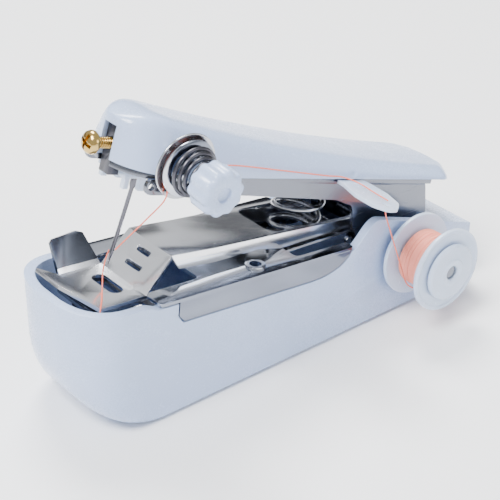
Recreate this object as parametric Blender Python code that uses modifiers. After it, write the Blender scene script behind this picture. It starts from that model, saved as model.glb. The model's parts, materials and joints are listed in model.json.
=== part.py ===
"""Hand-held stapler-type sewing machine, modelled at real size in metres, +Z up.

The needle end points to -X, the pivot end to +X and the bobbin side to -Y.  The origin lies on
the flat underside of the base, halfway along it.  The arm stands open, as its spring holds it.
Sizes below are in millimetres; every builder turns them into metres through MM.
"""
import math

import bmesh
import bpy
from mathutils import Matrix, Vector

MM = 0.001
GAP = 0.3                     # clearance kept between neighbouring solids
FIT = 0.1                     # radial clearance of a pin in its hole

# base tub
BASE_TIP = -54.4              # front of the rounded nose
BASE_TAIL = 56.5              # rear wall
BASE_HALF_WIDTH = 15.5
BASE_WALL = 2.2
BASE_FLOOR = 2.2
NOSE_LENGTH = 12.0            # plan rounding of the nose
NOSE_POWER = 2.5              # roundness of that plan curve
BOW_LENGTH = 17.0             # rounding under the nose, along X
BOW_HEIGHT = 16.0             # rounding under the nose, along Z
BILGE_RADIUS = 1.6            # rounding along the bottom edges
BOW_SOFTNESS = 6.0            # how much that rounding grows towards the tip
RIM_HEIGHT = 24.9             # rim level above the origin
RIM_PITCH = math.radians(6.4)  # the rim falls towards the rear
EAR_START = 17.0              # the side walls rise into ears from here
EAR_FULL = 26.0
TAIL_HEIGHT = 15.6
TAIL_PITCH = math.radians(20.5)
TAIL_DECK = 46.0              # the tail is roofed from here to the rear wall

# sheet metal
SHEET = 0.8
DECK_FRONT = -36.0
DECK_REAR = 18.0
DECK_NOTCH_HALF = 9.8
DECK_NOTCH_END = -22.0
DECK_BAY_START = 3.0
DECK_BAY_HALF = 12.6
FLANGE_FRONT = -31.0
FLANGE_DEPTH = 5.6
FLANGE_STRAIGHT = 6.0
FLANGE_REAR = 17.3
LUG_OFFSET = 8.9

# arm
PIVOT_X = 36.0
PIVOT_Z = RIM_HEIGHT - 9.4
PIN_RADIUS = 1.5
ARM_PITCH = math.radians(18.5)
ARM_SEAM = 16.3               # lower edge of the cover above the pivot
ARM_NOSE = -83.4
ARM_TAIL = 13.4
ARM_HALF_WIDTH = 12.0
ARM_TOP_HALF = 7.2
ARM_WALL = 1.5
ARM_NOSE_ROUND = 13.0
ARM_TAIL_ROUND = 4.5
CHANNEL_HALF = 11.0
CHANNEL_SHEET = 1.0
CHANNEL_FRONT = -79.6
CHANNEL_EDGE = 12.4           # lower edge of the flanges at the front
NOTCH_HALF = 2.0              # slot in the nose of the cover

# needle
NEEDLE_A = -75.0
NEEDLE_LEAN = math.radians(5.0)
NEEDLE_RADIUS = 0.45
NEEDLE_SHANK_RADIUS = 0.8
NEEDLE_TIP_C = -7.9
NEEDLE_SHOULDER_C = 9.5
SCREW_A = -84.3
SCREW_C = 19.2
SCREW_HEAD_RADIUS = 2.45
SCREW_SHANK_RADIUS = 1.2

# tension unit
STUD_A = -72.9
STUD_C = 20.4
STUD_RADIUS = 1.4
DISC_RADIUS = 7.2
DISC_Y = -12.8
KNOB_RADIUS = 5.1
KNOB_LENGTH = 6.2
KNOB_FACE_Y = -26.4
KNOB_FLUTES = 10
KNOB_NECK = 2.3
TENSION_DROOP = math.radians(5)  # the tension unit's axis points slightly down

# bobbin
BOBBIN_RADIUS = 10.15
BOBBIN_INNER_Y = -BASE_HALF_WIDTH - 1.4
BOBBIN_OUTER_Y = BOBBIN_INNER_Y - 10.8
BOBBIN_FLANGE = 1.0
BOBBIN_CORE = 3.4
PACK_RADIUS = 6.9
CAP_RADIUS = 6.85
CAP_THICKNESS = 1.5

# main spring
SPRING_X = 10.0
SPRING_RADIUS = 5.5
SPRING_WIRE = 0.65
SPRING_TURNS = 6
SPRING_FOOT_Z = RIM_HEIGHT - 8.9

# presser plate
PRESSER_PIN_X = 21.7
PRESSER_PIN_Z = RIM_HEIGHT - 4.4
PRESSER_HALF = 8.5
PRESSER_BAR_HALF = 7.5
SLOT_X = -38.6                # needle slot, along the machine
SLOT_HALF_WIDTH = 1.7
SLOT_HALF_LENGTH = 4.6

# stitch drive
DRIVE_DROP = 8.0              # drive pin below the arm's pivot
CRANK = 4.5                   # looper crank
LOOPER_X = -28.0
LOOPER_REACH = 10.4
LOOPER_Z = RIM_HEIGHT - 5.9
LOOPER_SWEEP = 0.5 * math.radians(10.5) * DRIVE_DROP / CRANK
FEED_X = -44.6

THREAD_RADIUS = 0.2
PACK_LAY = PACK_RADIUS + 0.65     # the thread's turn round the pack
GUIDE_EYE_A = -26.0           # hole in the guide's tip
GUIDE_EYE_Y = -26.4


# ---------------------------------------------------------------- materials and frames
def material(name, color, roughness, metallic=0.0):
    mat = bpy.data.materials.new(name)
    mat.use_nodes = True
    shader = mat.node_tree.nodes["Principled BSDF"]
    shader.inputs["Base Color"].default_value = (*color, 1.0)
    shader.inputs["Roughness"].default_value = roughness
    shader.inputs["Metallic"].default_value = metallic
    return mat


def collection(name):
    group = bpy.data.collections.new(name)
    bpy.context.scene.collection.children.link(group)
    return group


def empty(name, x=0.0, y=0.0, z=0.0, pitch=0.0, parent=None):
    """A frame: its X axis falls by pitch towards the rear."""
    frame = bpy.data.objects.new(name, None)
    frame.location = (x * MM, y * MM, z * MM)
    frame.rotation_euler = (0.0, pitch, 0.0)
    frame.parent = parent
    PARTS.objects.link(frame)
    return frame


def place(obj, name, mat, parent, group=None):
    obj.name = name
    obj.data.name = name
    obj.data.materials.clear()
    obj.data.materials.append(mat)
    obj.parent = parent
    for owner in obj.users_collection:
        owner.objects.unlink(obj)
    (group or PARTS).objects.link(obj)
    return obj


# ---------------------------------------------------------------- outlines
def rounded(points, radius, steps=4):
    """A closed outline with each corner turned into an arc of at most the given radius."""
    result = []
    count = len(points)
    for index, corner in enumerate(points):
        here = Vector(corner)
        before = Vector(points[index - 1]) - here
        after = Vector(points[(index + 1) % count]) - here
        angle = before.angle(after)
        setback = min(radius / math.tan(angle / 2), before.length * 0.45, after.length * 0.45)
        if angle > math.radians(172) or setback < 1e-6:
            result.append(tuple(here))
            continue
        start = here + before.normalized() * setback
        end = here + after.normalized() * setback
        for step in range(steps + 1):
            t = step / steps
            result.append(tuple((1 - t) ** 2 * start + 2 * t * (1 - t) * here + t ** 2 * end))
    return result


def rectangle(x0, x1, y0, y1):
    return [(x0, y0), (x1, y0), (x1, y1), (x0, y1)]


def circle(x, y, radius, count=24):
    return [(x + radius * math.cos(2 * math.pi * i / count), y + radius * math.sin(2 * math.pi * i / count))
            for i in range(count)]


def stadium(x, y, half_x, half_y, steps=8):
    """A slot with round ends along Y."""
    arc = [math.pi * i / steps for i in range(steps + 1)]
    run = half_y - half_x
    top = [(x + half_x * math.cos(t), y + run + half_x * math.sin(t)) for t in arc]
    return top + [(x - half_x * math.cos(t), y - run - half_x * math.sin(t)) for t in arc]


# ---------------------------------------------------------------- builders
def loose(obj):
    bpy.context.scene.collection.objects.link(obj)
    return obj


def as_mesh(obj):
    """Turn a curve object into a closed mesh object with its caps welded."""
    bpy.context.view_layer.update()
    graph = bpy.context.evaluated_depsgraph_get()
    mesh = bpy.data.meshes.new_from_object(obj.evaluated_get(graph))
    work = bmesh.new()
    work.from_mesh(mesh)
    bmesh.ops.remove_doubles(work, verts=work.verts, dist=1e-7)
    work.to_mesh(mesh)
    work.free()
    solid = loose(bpy.data.objects.new(obj.name, mesh))
    solid.matrix_world = obj.matrix_world
    bpy.data.objects.remove(obj)
    return solid


def flat(outlines, low, high, plane="XY"):
    """A plate: the first outline filled, the others cut as holes, from low to high across it."""
    curve = bpy.data.curves.new("plate", "CURVE")
    curve.dimensions = "2D"
    curve.fill_mode = "BOTH"
    curve.extrude = (high - low) / 2 * MM
    for outline in outlines:
        spline = curve.splines.new("POLY")
        spline.points.add(len(outline) - 1)
        for point, (x, y) in zip(spline.points, outline):
            point.co = (x * MM, y * MM, 0.0, 1.0)
        spline.use_cyclic_u = True
    solid = as_mesh(loose(bpy.data.objects.new("plate", curve)))
    middle = Matrix.Translation((0.0, 0.0, (low + high) / 2 * MM))
    turn = Matrix.Identity(4)
    if plane == "XZ":          # the outline's Y becomes Z, and low and high are measured along Y
        turn = Matrix.Rotation(math.radians(90), 4, "X")
        middle = Matrix.Translation((0.0, 0.0, -(low + high) / 2 * MM))
    solid.data.transform(turn @ middle)
    return solid


def box(x0, x1, y0, y1, z0, z1):
    bpy.ops.mesh.primitive_cube_add(size=1.0)
    obj = bpy.context.object
    centre = ((x0 + x1) / 2 * MM, (y0 + y1) / 2 * MM, (z0 + z1) / 2 * MM)
    size = ((x1 - x0) * MM, (y1 - y0) * MM, (z1 - z0) * MM)
    obj.data.transform(Matrix.Translation(centre) @ Matrix.Diagonal((*size, 1.0)))
    return obj


def rod(radius, low, high, axis="Y", x=0.0, y=0.0, z=0.0, sides=24):
    """A round bar along one axis, from low to high, through the point given on the others."""
    bpy.ops.mesh.primitive_cylinder_add(vertices=sides, radius=radius * MM, depth=(high - low) * MM)
    obj = bpy.context.object
    middle = (low + high) / 2 * MM
    turns = {"X": Matrix.Rotation(math.radians(90), 4, "Y"),
             "Y": Matrix.Rotation(math.radians(-90), 4, "X"),
             "Z": Matrix.Identity(4)}
    offset = {"X": (middle, y * MM, z * MM), "Y": (x * MM, middle, z * MM), "Z": (x * MM, y * MM, middle)}
    obj.data.transform(Matrix.Translation(offset[axis]) @ turns[axis])
    return obj


def turned(profile, axis="Y", steps=32, closed=False):
    """A turned piece: (radius, height) points from the top down the outer side."""
    mesh = bpy.data.meshes.new("turned")
    points = [(r * MM, 0.0, h * MM) for r, h in profile]
    edges = [(i, i + 1) for i in range(len(points) - 1)]
    if closed:
        edges.append((len(points) - 1, 0))
    mesh.from_pydata(points, edges, [])
    obj = loose(bpy.data.objects.new("turned", mesh))
    screw = obj.modifiers.new("screw", "SCREW")
    screw.steps = screw.render_steps = steps
    screw.use_merge_vertices = True
    screw.merge_threshold = 0.00001
    graph = bpy.context.evaluated_depsgraph_get()
    obj.data = bpy.data.meshes.new_from_object(obj.evaluated_get(graph))
    obj.modifiers.clear()
    if axis == "Y":            # heights run along +Y
        obj.data.transform(Matrix.Rotation(math.radians(-90), 4, "X"))
    elif axis == "-X":         # heights run along -X
        obj.data.transform(Matrix.Rotation(math.radians(-90), 4, "Y"))
    return obj


def wire(points, radius, resolution=2):
    curve = bpy.data.curves.new("wire", "CURVE")
    curve.dimensions = "3D"
    curve.bevel_depth = radius * MM
    curve.bevel_resolution = resolution
    curve.use_fill_caps = True
    spline = curve.splines.new("POLY")
    spline.points.add(len(points) - 1)
    for point, (x, y, z) in zip(spline.points, points):
        point.co = (x * MM, y * MM, z * MM, 1.0)
    return as_mesh(loose(bpy.data.objects.new("wire", curve)))


def join(target, *others):
    for other in others:
        modify(target, other, "UNION")
    return target


def cut(target, *others):
    for other in others:
        modify(target, other, "DIFFERENCE")
    return target


def modify(target, other, operation):
    """Join or cut one solid with another, in the target's own frame."""
    boolean = target.modifiers.new(operation.lower(), "BOOLEAN")
    boolean.operation = operation
    boolean.solver = "EXACT"
    boolean.object = other
    bpy.context.view_layer.update()
    graph = bpy.context.evaluated_depsgraph_get()
    mesh = bpy.data.meshes.new_from_object(target.evaluated_get(graph))
    target.modifiers.clear()
    target.data = mesh
    bpy.data.objects.remove(other)


def smooth(obj, degrees=35):
    obj.data.shade_smooth()
    obj.data.set_sharp_from_angle(angle=math.radians(degrees))
    return obj


# ---------------------------------------------------------------- base tub
def rim_plane(x):
    return RIM_HEIGHT - math.tan(RIM_PITCH) * x


def ease(low, high, x):
    t = min(1.0, max(0.0, (x - low) / (high - low)))
    return t * t * (3 - 2 * t)


def rim_top(x):
    """Height of the tub's edge: nose rim, the shelf under the deck, the ears and the falling tail."""
    shelf = SHEET + GAP
    level = rim_plane(x) - shelf * ease(DECK_FRONT - 3.0, DECK_FRONT - 1.0, x)
    tail = TAIL_HEIGHT + (BASE_TAIL - x) * math.tan(TAIL_PITCH)
    share = ease(EAR_START, EAR_FULL, x)
    return (1 - share) * level + share * tail


def hull_half_width(x, inset=0.0):
    """Half width of the tub at x, from its rounded nose back."""
    length = NOSE_LENGTH - inset
    reach = (BASE_TIP + NOSE_LENGTH - x) / length
    reach = min(1.0, max(0.0, reach))
    return (BASE_HALF_WIDTH - inset) * (1 - reach ** NOSE_POWER) ** (1 / NOSE_POWER)


def hull_bottom(x, inset=0.0):
    reach = min(1.0, max(0.0, (BASE_TIP + BOW_LENGTH - x) / (BOW_LENGTH - inset)))
    return inset + (BOW_HEIGHT - inset) * (1 - math.sqrt(1 - reach ** 2))


def hull(stations, top, inset=0.0):
    """A closed hull lofted through U-shaped sections, one at each station along X."""
    work = bmesh.new()
    rings = []
    for x in stations:
        half, low, high = hull_half_width(x, inset), hull_bottom(x, inset), top(x)
        soft = BOW_SOFTNESS * min(1.0, max(0.0, (BASE_TIP + BOW_LENGTH - x) / BOW_LENGTH))
        radius = min(max(BILGE_RADIUS + soft - inset, 0.8), half * 0.8)
        section = [(-half, high)]
        for step in range(7):
            t = math.pi / 2 * step / 6
            section.append((-half + radius * (1 - math.cos(t)), low + radius * (1 - math.sin(t))))
        section += [(-y, z) for y, z in reversed(section)]
        rings.append([work.verts.new((x * MM, y * MM, z * MM)) for y, z in section])
    for ring, following in zip(rings, rings[1:]):
        for i, vert in enumerate(ring):
            j = (i + 1) % len(ring)
            work.faces.new((vert, ring[j], following[j], following[i]))
    work.faces.new(rings[0])
    work.faces.new(list(reversed(rings[-1])))
    bmesh.ops.recalc_face_normals(work, faces=work.faces)
    mesh = bpy.data.meshes.new("hull")
    work.to_mesh(mesh)
    work.free()
    return loose(bpy.data.objects.new("hull", mesh))


def spread(start, end, count, bunch=2.0):
    """Stations from start to end, closer together near the start."""
    return [start + (end - start) * (i / count) ** bunch for i in range(count + 1)]


def flange_outline(grow=0.0):
    """Blade-shaped side flange of the deck, seen from the side in the deck's frame."""
    arc = [(FLANGE_STRAIGHT + (FLANGE_REAR - FLANGE_STRAIGHT + grow) * math.sin(math.pi / 2 * i / 8),
            -(FLANGE_DEPTH + grow) * math.cos(math.pi / 2 * i / 8)) for i in range(8)]
    front = FLANGE_FRONT - grow
    return ([(FLANGE_REAR + grow, -SHEET / 2 + 2 * grow), (front, -SHEET / 2 + 2 * grow)]
            + [(front, -FLANGE_DEPTH + 1.5), (front + 1.5, -FLANGE_DEPTH - grow)] + arc)


def to_world(obj, frame):
    """Move a loose solid from a frame's coordinates to the world's."""
    bpy.context.view_layer.update()
    obj.data.transform(frame.matrix_world)
    return obj


def build_base():
    front = spread(BASE_TIP + 0.1, BASE_TIP + 14.0, 14)
    middle = [BASE_TIP + 14.0 + 2.0 * i for i in range(1, 30)]
    rear = [x for x in [EAR_START + i for i in range(0, 11)] if x > middle[-1]]
    back = [EAR_FULL + 3.0, 34.0, 40.0, TAIL_DECK, 51.0, BASE_TAIL]
    stations = front + middle + rear + back
    tub = hull(stations, rim_top)
    inner = hull(spread(BASE_TIP + BASE_WALL + 0.1, BASE_TIP + 14.0, 10) + [-30.0, 0.0, TAIL_DECK],
                 lambda x: 60.0, BASE_WALL)
    roofed = hull([TAIL_DECK - 4.0, BASE_TAIL - BASE_WALL],
                  lambda x: rim_top(x) - BASE_WALL, BASE_WALL + 0.2)
    cut(tub, inner, roofed)
    for side in (-1, 1):
        low, high = sorted((side * (BASE_HALF_WIDTH - SHEET - GAP), side * (BASE_HALF_WIDTH + 2.0)))
        cut(tub, to_world(flat([flange_outline(GAP)], low, high, "XZ"), DECK))
        cut(tub, rod(PIN_RADIUS + FIT, *sorted((side * 10.0, side * 20.0)), "Y", x=PIVOT_X, z=PIVOT_Z))
    place(smooth(tub, 28), "base_shell", WHITE, None)


# ---------------------------------------------------------------- sheet metal on the base
def deck_outline():
    half, notch, bay = BASE_HALF_WIDTH, DECK_NOTCH_HALF, DECK_BAY_HALF
    points = [(DECK_FRONT, -half), (DECK_REAR, -half), (DECK_REAR, -bay), (DECK_BAY_START, -bay),
              (DECK_BAY_START, bay), (DECK_REAR, bay), (DECK_REAR, half), (DECK_FRONT, half),
              (DECK_FRONT, notch), (DECK_NOTCH_END, notch), (DECK_NOTCH_END, -notch), (DECK_FRONT, -notch)]
    return rounded(points, 1.2, 3)


def lug_outline(pin_u, pin_w):
    """Cantilevered ear under the deck that carries the presser's pin."""
    return rounded([(DECK_BAY_START - 6.0, -SHEET / 2), (DECK_BAY_START - 6.0, -4.5), (pin_u, pin_w - 3.0),
                    (pin_u + 3.0, pin_w - 2.0), (pin_u + 3.0, pin_w + 2.2),
                    (DECK_BAY_START + 1.0, -SHEET / 2)],
                   1.2, 3)


def build_deck():
    holes = [circle(-8.0, side * 11.6, 1.6, 20) for side in (-1, 1)]
    deck = flat([deck_outline(), *holes], -SHEET, 0.0)
    pin_u, pin_w = DECK_PIN
    for side in (-1, 1):
        outer = side * (BASE_HALF_WIDTH - 0.04)
        inner = side * (BASE_HALF_WIDTH - SHEET)
        join(deck, flat([flange_outline()], *sorted((outer, inner)), "XZ"))
        lug = flat([lug_outline(pin_u, pin_w), circle(pin_u, pin_w, PIN_RADIUS * 0.7 + FIT, 16)],
                   side * LUG_OFFSET - SHEET / 2, side * LUG_OFFSET + SHEET / 2, "XZ")
        collar = flat([circle(-8.0, side * 11.6, 2.3, 20), circle(-8.0, side * 11.6, 1.4, 20)], -0.4, 0.6)
        join(deck, lug, collar)
    place(smooth(deck), "frame_deck", CHROME, DECK)

    plate = flat([rounded(rectangle(-47.0, -30.5, -7.2, 7.2), 1.5),
                  stadium(NEEDLE_U, 0.0, SLOT_HALF_WIDTH + 0.2, SLOT_HALF_LENGTH + 0.2),
                  rounded(rectangle(FEED_U - 1.5, FEED_U + 1.5, -5.6, 5.6), 0.8)], -4.1, -3.3)
    wings = flat([rounded(rectangle(-35.0, -30.9, -13.0, 13.0), 1.0)], -4.1, -3.35)
    join(plate, wings)
    place(smooth(plate), "needle_plate", STEEL, DECK)

    floor = box(27.0, 45.0, -12.75, 12.75, 2.8, 3.6)
    for side in (-1, 1):
        low, high = sorted((side * 12.0, side * 12.8))
        wall = flat([rounded([(27.0, 2.85), (45.0, 2.85), (41.5, PIVOT_Z + 4.2), (31.0, PIVOT_Z + 4.2)],
                             2.0),
                     circle(PIVOT_X, PIVOT_Z, PIN_RADIUS + FIT, 20)], low, high, "XZ")
        join(floor, wall)
    place(smooth(floor), "pivot_bracket", STEEL, None)

    cup = turned([(6.9, 2.6), (8.2, 2.6), (8.2, 1.8), (7.7, 1.8), (7.7, -0.8), (1.8, -0.8), (1.8, 0.0),
                  (6.9, 0.0)],
                 "Z", 32, True)
    cup.data.transform(Matrix.Translation((SPRING_X * MM, 0.0, (SPRING_FOOT_Z - GAP) * MM)))
    place(smooth(cup), "spring_cup", STEEL, None)
    bridge = box(SPRING_X - 7.0, SPRING_X + 7.0, -12.9, 12.9, SPRING_FOOT_Z - 2.3, SPRING_FOOT_Z - 1.5)
    place(bridge, "spring_bridge", STEEL, None)


# ---------------------------------------------------------------- presser plate
def presser_surface():
    """The presser as an open sheet: flap, foot, ramp, bar with side flanges, and the cloth guide wing."""
    work = bmesh.new()

    def vert(x, y, z):
        return work.verts.new((x * MM, y * MM, z * MM))

    def foot(x):
        return rim_plane(x) - 1.9

    def bar(x):
        return RIM_HEIGHT + 8.2 - 0.166 * (x + 27.1)

    half, bar_half = PRESSER_HALF, PRESSER_BAR_HALF
    tip = [vert(-50.5, half, foot(-45.3) + 3.6), vert(-50.4, 0.0, foot(-45.3) + 3.4)]
    fold = [vert(-45.3, half, foot(-45.3)), vert(-45.6, 0.0, foot(-45.6)), vert(-46.0, -half, foot(-46.0))]
    heel = [vert(-34.6, y, foot(-34.6)) for y in (half, 0.0, -half)]
    crest = [vert(-27.1, y, bar(-27.1)) for y in (bar_half, 0.0, -bar_half)]
    rows = [crest]
    for x in (-16.0, -4.0, 8.0, 24.6):
        rows.append([vert(x, y, bar(x)) for y in (bar_half, 0.0, -bar_half)])
    work.faces.new((tip[0], tip[1], fold[1], fold[0]))
    work.faces.new((tip[1], fold[2], fold[1]))
    for near, far in zip([fold, heel, *rows], [heel, *rows]):
        work.faces.new((near[0], near[1], far[1], far[0]))
        work.faces.new((near[1], near[2], far[2], far[1]))
    hems = []
    for row, x in zip(rows, (-25.6, -16.0, -4.0, 8.0, 24.6)):
        low = RIM_HEIGHT + {-25.6: 5.2, -16.0: 3.3, -4.0: 2.0, 8.0: -1.9}.get(x, -6.7)
        hems.append((vert(x, bar_half + 0.01, low), vert(x, -bar_half - 0.01, low)))
    for (row, hem), (next_row, next_hem) in zip(zip(rows, hems), zip(rows[1:], hems[1:])):
        work.faces.new((row[0], next_row[0], next_hem[0], hem[0]))
        work.faces.new((row[2], hem[1], next_hem[1], next_row[2]))
    wing = [vert(-45.0, 11.6, RIM_HEIGHT + 9.7), vert(-44.2, 11.9, RIM_HEIGHT + 10.3),
            vert(-38.4, 11.9, RIM_HEIGHT + 10.3), vert(-36.9, 11.6, RIM_HEIGHT + 9.5)]
    work.faces.new((fold[0], heel[0], wing[3], wing[2], wing[1], wing[0]))
    bmesh.ops.recalc_face_normals(work, faces=work.faces)
    mesh = bpy.data.meshes.new("presser")
    work.to_mesh(mesh)
    work.free()
    return loose(bpy.data.objects.new("presser", mesh))


def build_presser():
    sheet = presser_surface()
    solidify = sheet.modifiers.new("sheet", "SOLIDIFY")
    solidify.thickness = SHEET * MM
    solidify.offset = 0.0
    solidify.use_even_offset = True
    bpy.context.view_layer.update()
    sheet.data = bpy.data.meshes.new_from_object(
        sheet.evaluated_get(bpy.context.evaluated_depsgraph_get()))
    sheet.modifiers.clear()
    cut(sheet,
        flat([stadium(SLOT_X, 0.0, SLOT_HALF_WIDTH, SLOT_HALF_LENGTH)], RIM_HEIGHT - 1.0, RIM_HEIGHT + 6.0))
    cut(sheet, flat([rounded(rectangle(0.6, 26.0, -6.7, 6.7), 3.0)], RIM_HEIGHT - 3.0, RIM_HEIGHT + 9.0))
    for x, half in ((-31.8, 2.8), (-29.0, 2.2)):
        cut(sheet,
            flat([rounded(rectangle(x - 0.5, x + 0.5, -half, half), 0.45)], RIM_HEIGHT - 1.0,
                 RIM_HEIGHT + 15.0))
    cut(sheet, rod(PIN_RADIUS * 0.7 + FIT, -9.0, 9.0, "Y", x=PRESSER_PIN_X, z=PRESSER_PIN_Z, sides=16))
    sheet.data.transform(Matrix.Translation((-PRESSER_PIN_X * MM, 0.0, -PRESSER_PIN_Z * MM)))
    place(smooth(sheet), "presser_plate", CHROME, PRESSER)
    pin = rod(PIN_RADIUS * 0.7, -LUG_OFFSET - 0.9, LUG_OFFSET + 0.9, "Y", x=PRESSER_PIN_X, z=PRESSER_PIN_Z)
    place(smooth(pin), "presser_pin", STEEL, None)
    turns, radius = 4, PIN_RADIUS * 0.7 + 0.7
    coil = [(PRESSER_PIN_X + 5.0, -2.6, PRESSER_PIN_Z - 6.0)]
    for step in range(turns * 12 + 1):
        angle = math.radians(250) - 2 * math.pi * step / 12
        coil.append((PRESSER_PIN_X + radius * math.cos(angle), -2.4 + 4.8 * step / (turns * 12),
                     PRESSER_PIN_Z + radius * math.sin(angle)))
    coil.append((PRESSER_PIN_X + 1.0, 2.6, PRESSER_PIN_Z - 8.0))
    place(smooth(wire(coil, 0.3)), "presser_spring", STEEL, None)


# ---------------------------------------------------------------- arm
TENSION_IN_ARM = (Matrix.Translation((STUD_A * MM, 0.0, STUD_C * MM))
                  @ Matrix.Rotation(TENSION_DROOP, 4, "X"))


def cover_top(a):
    """Height of the cover's crown above the pivot, along the arm."""
    t = (a - ARM_TAIL) / (-72.0 - ARM_TAIL)
    crown = 18.5 + 1.6 * t + 6.3 * t ** 2
    nose = max(0.0, (-74.0 - a) / (-74.0 - ARM_NOSE))
    return crown - 3.2 * nose ** 2


def cover_half_width(a, half, nose_round, tail_round):
    reach = min(1.0, max(0.0, (ARM_NOSE + nose_round - a) / nose_round))
    back = min(1.0, max(0.0, (a - ARM_TAIL + tail_round) / tail_round))
    return half * (1 - reach ** 2.2) ** (1 / 2.2) * (1 - 0.3 * back ** 2)


def cover_body(inset, floor):
    """The cover's solid form, lofted along the arm; inset gives the hollow inside it."""
    stations = (spread(ARM_NOSE + inset + 0.15, ARM_NOSE + 14.0, 9)
                + [-64.0, -54.0, -42.0, -28.0, -14.0, 0.0] + [ARM_TAIL - 4.0, ARM_TAIL - 1.5,
                                                              ARM_TAIL - inset])
    work = bmesh.new()
    rings = []
    for a in stations:
        shifted = a - inset if a < -60.0 else a
        half = cover_half_width(shifted, ARM_HALF_WIDTH, ARM_NOSE_ROUND, ARM_TAIL_ROUND) - inset * 0.9
        crest = half * ARM_TOP_HALF / ARM_HALF_WIDTH
        high = cover_top(a) - inset
        shoulder = floor + (high - floor) * 0.86
        section = [(-half, floor), (-half + 0.1 * (half - crest), floor + (high - floor) * 0.3),
                   (-crest - 0.25 * (half - crest), shoulder), (-crest * 0.8, high - 0.15), (0.0, high)]
        section += [(-y, z) for y, z in reversed(section[:-1])]
        rings.append([work.verts.new((a * MM, y * MM, z * MM)) for y, z in section])
    for ring, following in zip(rings, rings[1:]):
        for i, vert in enumerate(ring):
            j = (i + 1) % len(ring)
            work.faces.new((vert, ring[j], following[j], following[i]))
    work.faces.new(rings[0])
    work.faces.new(list(reversed(rings[-1])))
    bmesh.ops.recalc_face_normals(work, faces=work.faces)
    mesh = bpy.data.meshes.new("cover")
    work.to_mesh(mesh)
    work.free()
    return loose(bpy.data.objects.new("cover", mesh))


def build_arm():
    cover = cover_body(0.0, ARM_SEAM)
    cut(cover, cover_body(ARM_WALL, ARM_SEAM - 3.0))
    cut(cover, box(ARM_NOSE - 3.0, ARM_NOSE + 4.5, -NOTCH_HALF, NOTCH_HALF, ARM_SEAM - 2.0, 23.4))
    stud_hole = rod(STUD_RADIUS + GAP, -15.0, -8.0, "Y", sides=20)
    stud_hole.data.transform(TENSION_IN_ARM)
    cut(cover, stud_hole)
    place(smooth(cover, 32), "arm_cover", WHITE, ARM)

    web_half = CHANNEL_HALF + 0.3
    nose = [(ARM_NOSE + 0.3 + 11.0 * (1 - math.cos(math.pi / 2 * i / 8)),
             web_half * math.sin(math.pi / 2 * i / 8))
            for i in range(9)]
    web = [(ARM_TAIL - 8.0, -web_half), (ARM_TAIL - 8.0, web_half)] + list(reversed(nose))
    web += [(a, -v) for a, v in nose[1:]]
    top = ARM_SEAM - GAP
    channel = flat([web], top - CHANNEL_SHEET, top)
    cut(channel, box(ARM_NOSE - 2.0, -71.6, -NOTCH_HALF, NOTCH_HALF, top - 2.0, top + 1.0))
    drive_a = DRIVE_DROP * math.sin(ARM_PITCH)
    drive_c = -DRIVE_DROP * math.cos(ARM_PITCH)
    cheek = rounded([(CHANNEL_FRONT, top - 0.4), (CHANNEL_FRONT, CHANNEL_EDGE - 0.2),
                     (-54.5, CHANNEL_EDGE - 0.3),
                     (-25.0, 10.9), (-19.0, 9.4), (-17.0, 4.5), (-9.5, -4.5),
                     (drive_a - 3.0, drive_c - 2.4),
                     (drive_a + 3.0, drive_c - 1.4), (6.5, -1.0), (6.9, 8.0), (3.7, top - 0.4)], 2.0, 3)
    for side in (-1, 1):
        low, high = sorted((side * CHANNEL_HALF, side * (CHANNEL_HALF - CHANNEL_SHEET)))
        holes = [circle(0.0, 0.0, PIN_RADIUS + FIT, 20),
                 circle(drive_a, drive_c, PIN_RADIUS * 0.7 + 0.05, 16),
                 circle(-78.4, 13.9, 0.75, 12)]
        join(channel, flat([cheek, *holes], low, high, "XZ"))
    place(smooth(channel), "arm_channel", CHROME, ARM)
    drive = rod(PIN_RADIUS * 0.7 - 0.25, -CHANNEL_HALF - 0.4, CHANNEL_HALF + 0.4, "Y", x=drive_a, z=drive_c)
    place(smooth(drive), "drive_pin", STEEL, ARM)

    for name, a in (("cover_screw_front", -62.0), ("cover_screw_rear", -6.0)):
        screw = turned([(0.0, -0.3), (2.4, -0.3), (2.4, -1.2), (1.6, -1.9), (0.0, -1.9)], "Z", 24)
        screw.data.transform(Matrix.Translation((a * MM, 0.0, (top - CHANNEL_SHEET) * MM)))
        place(smooth(screw), name, STEEL, ARM)

    pin = rod(PIN_RADIUS, BOBBIN_OUTER_Y - CAP_THICKNESS + 0.4, 17.0, "Y", x=PIVOT_X, z=PIVOT_Z)
    place(smooth(pin), "pivot_pin", STEEL, None)
    for name, low, high in (("pivot_clip", BASE_HALF_WIDTH + 0.3, BASE_HALF_WIDTH + 1.1),
                            ("bobbin_washer", BOBBIN_INNER_Y + 0.3, -BASE_HALF_WIDTH - 0.3)):
        ring = turned([(3.0, high), (3.0, low), (PIN_RADIUS + FIT, low), (PIN_RADIUS + FIT, high)], "Y",
                      28, True)
        ring.data.transform(Matrix.Translation((PIVOT_X * MM, 0.0, PIVOT_Z * MM)))
        place(smooth(ring), name, STEEL, None)


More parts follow.
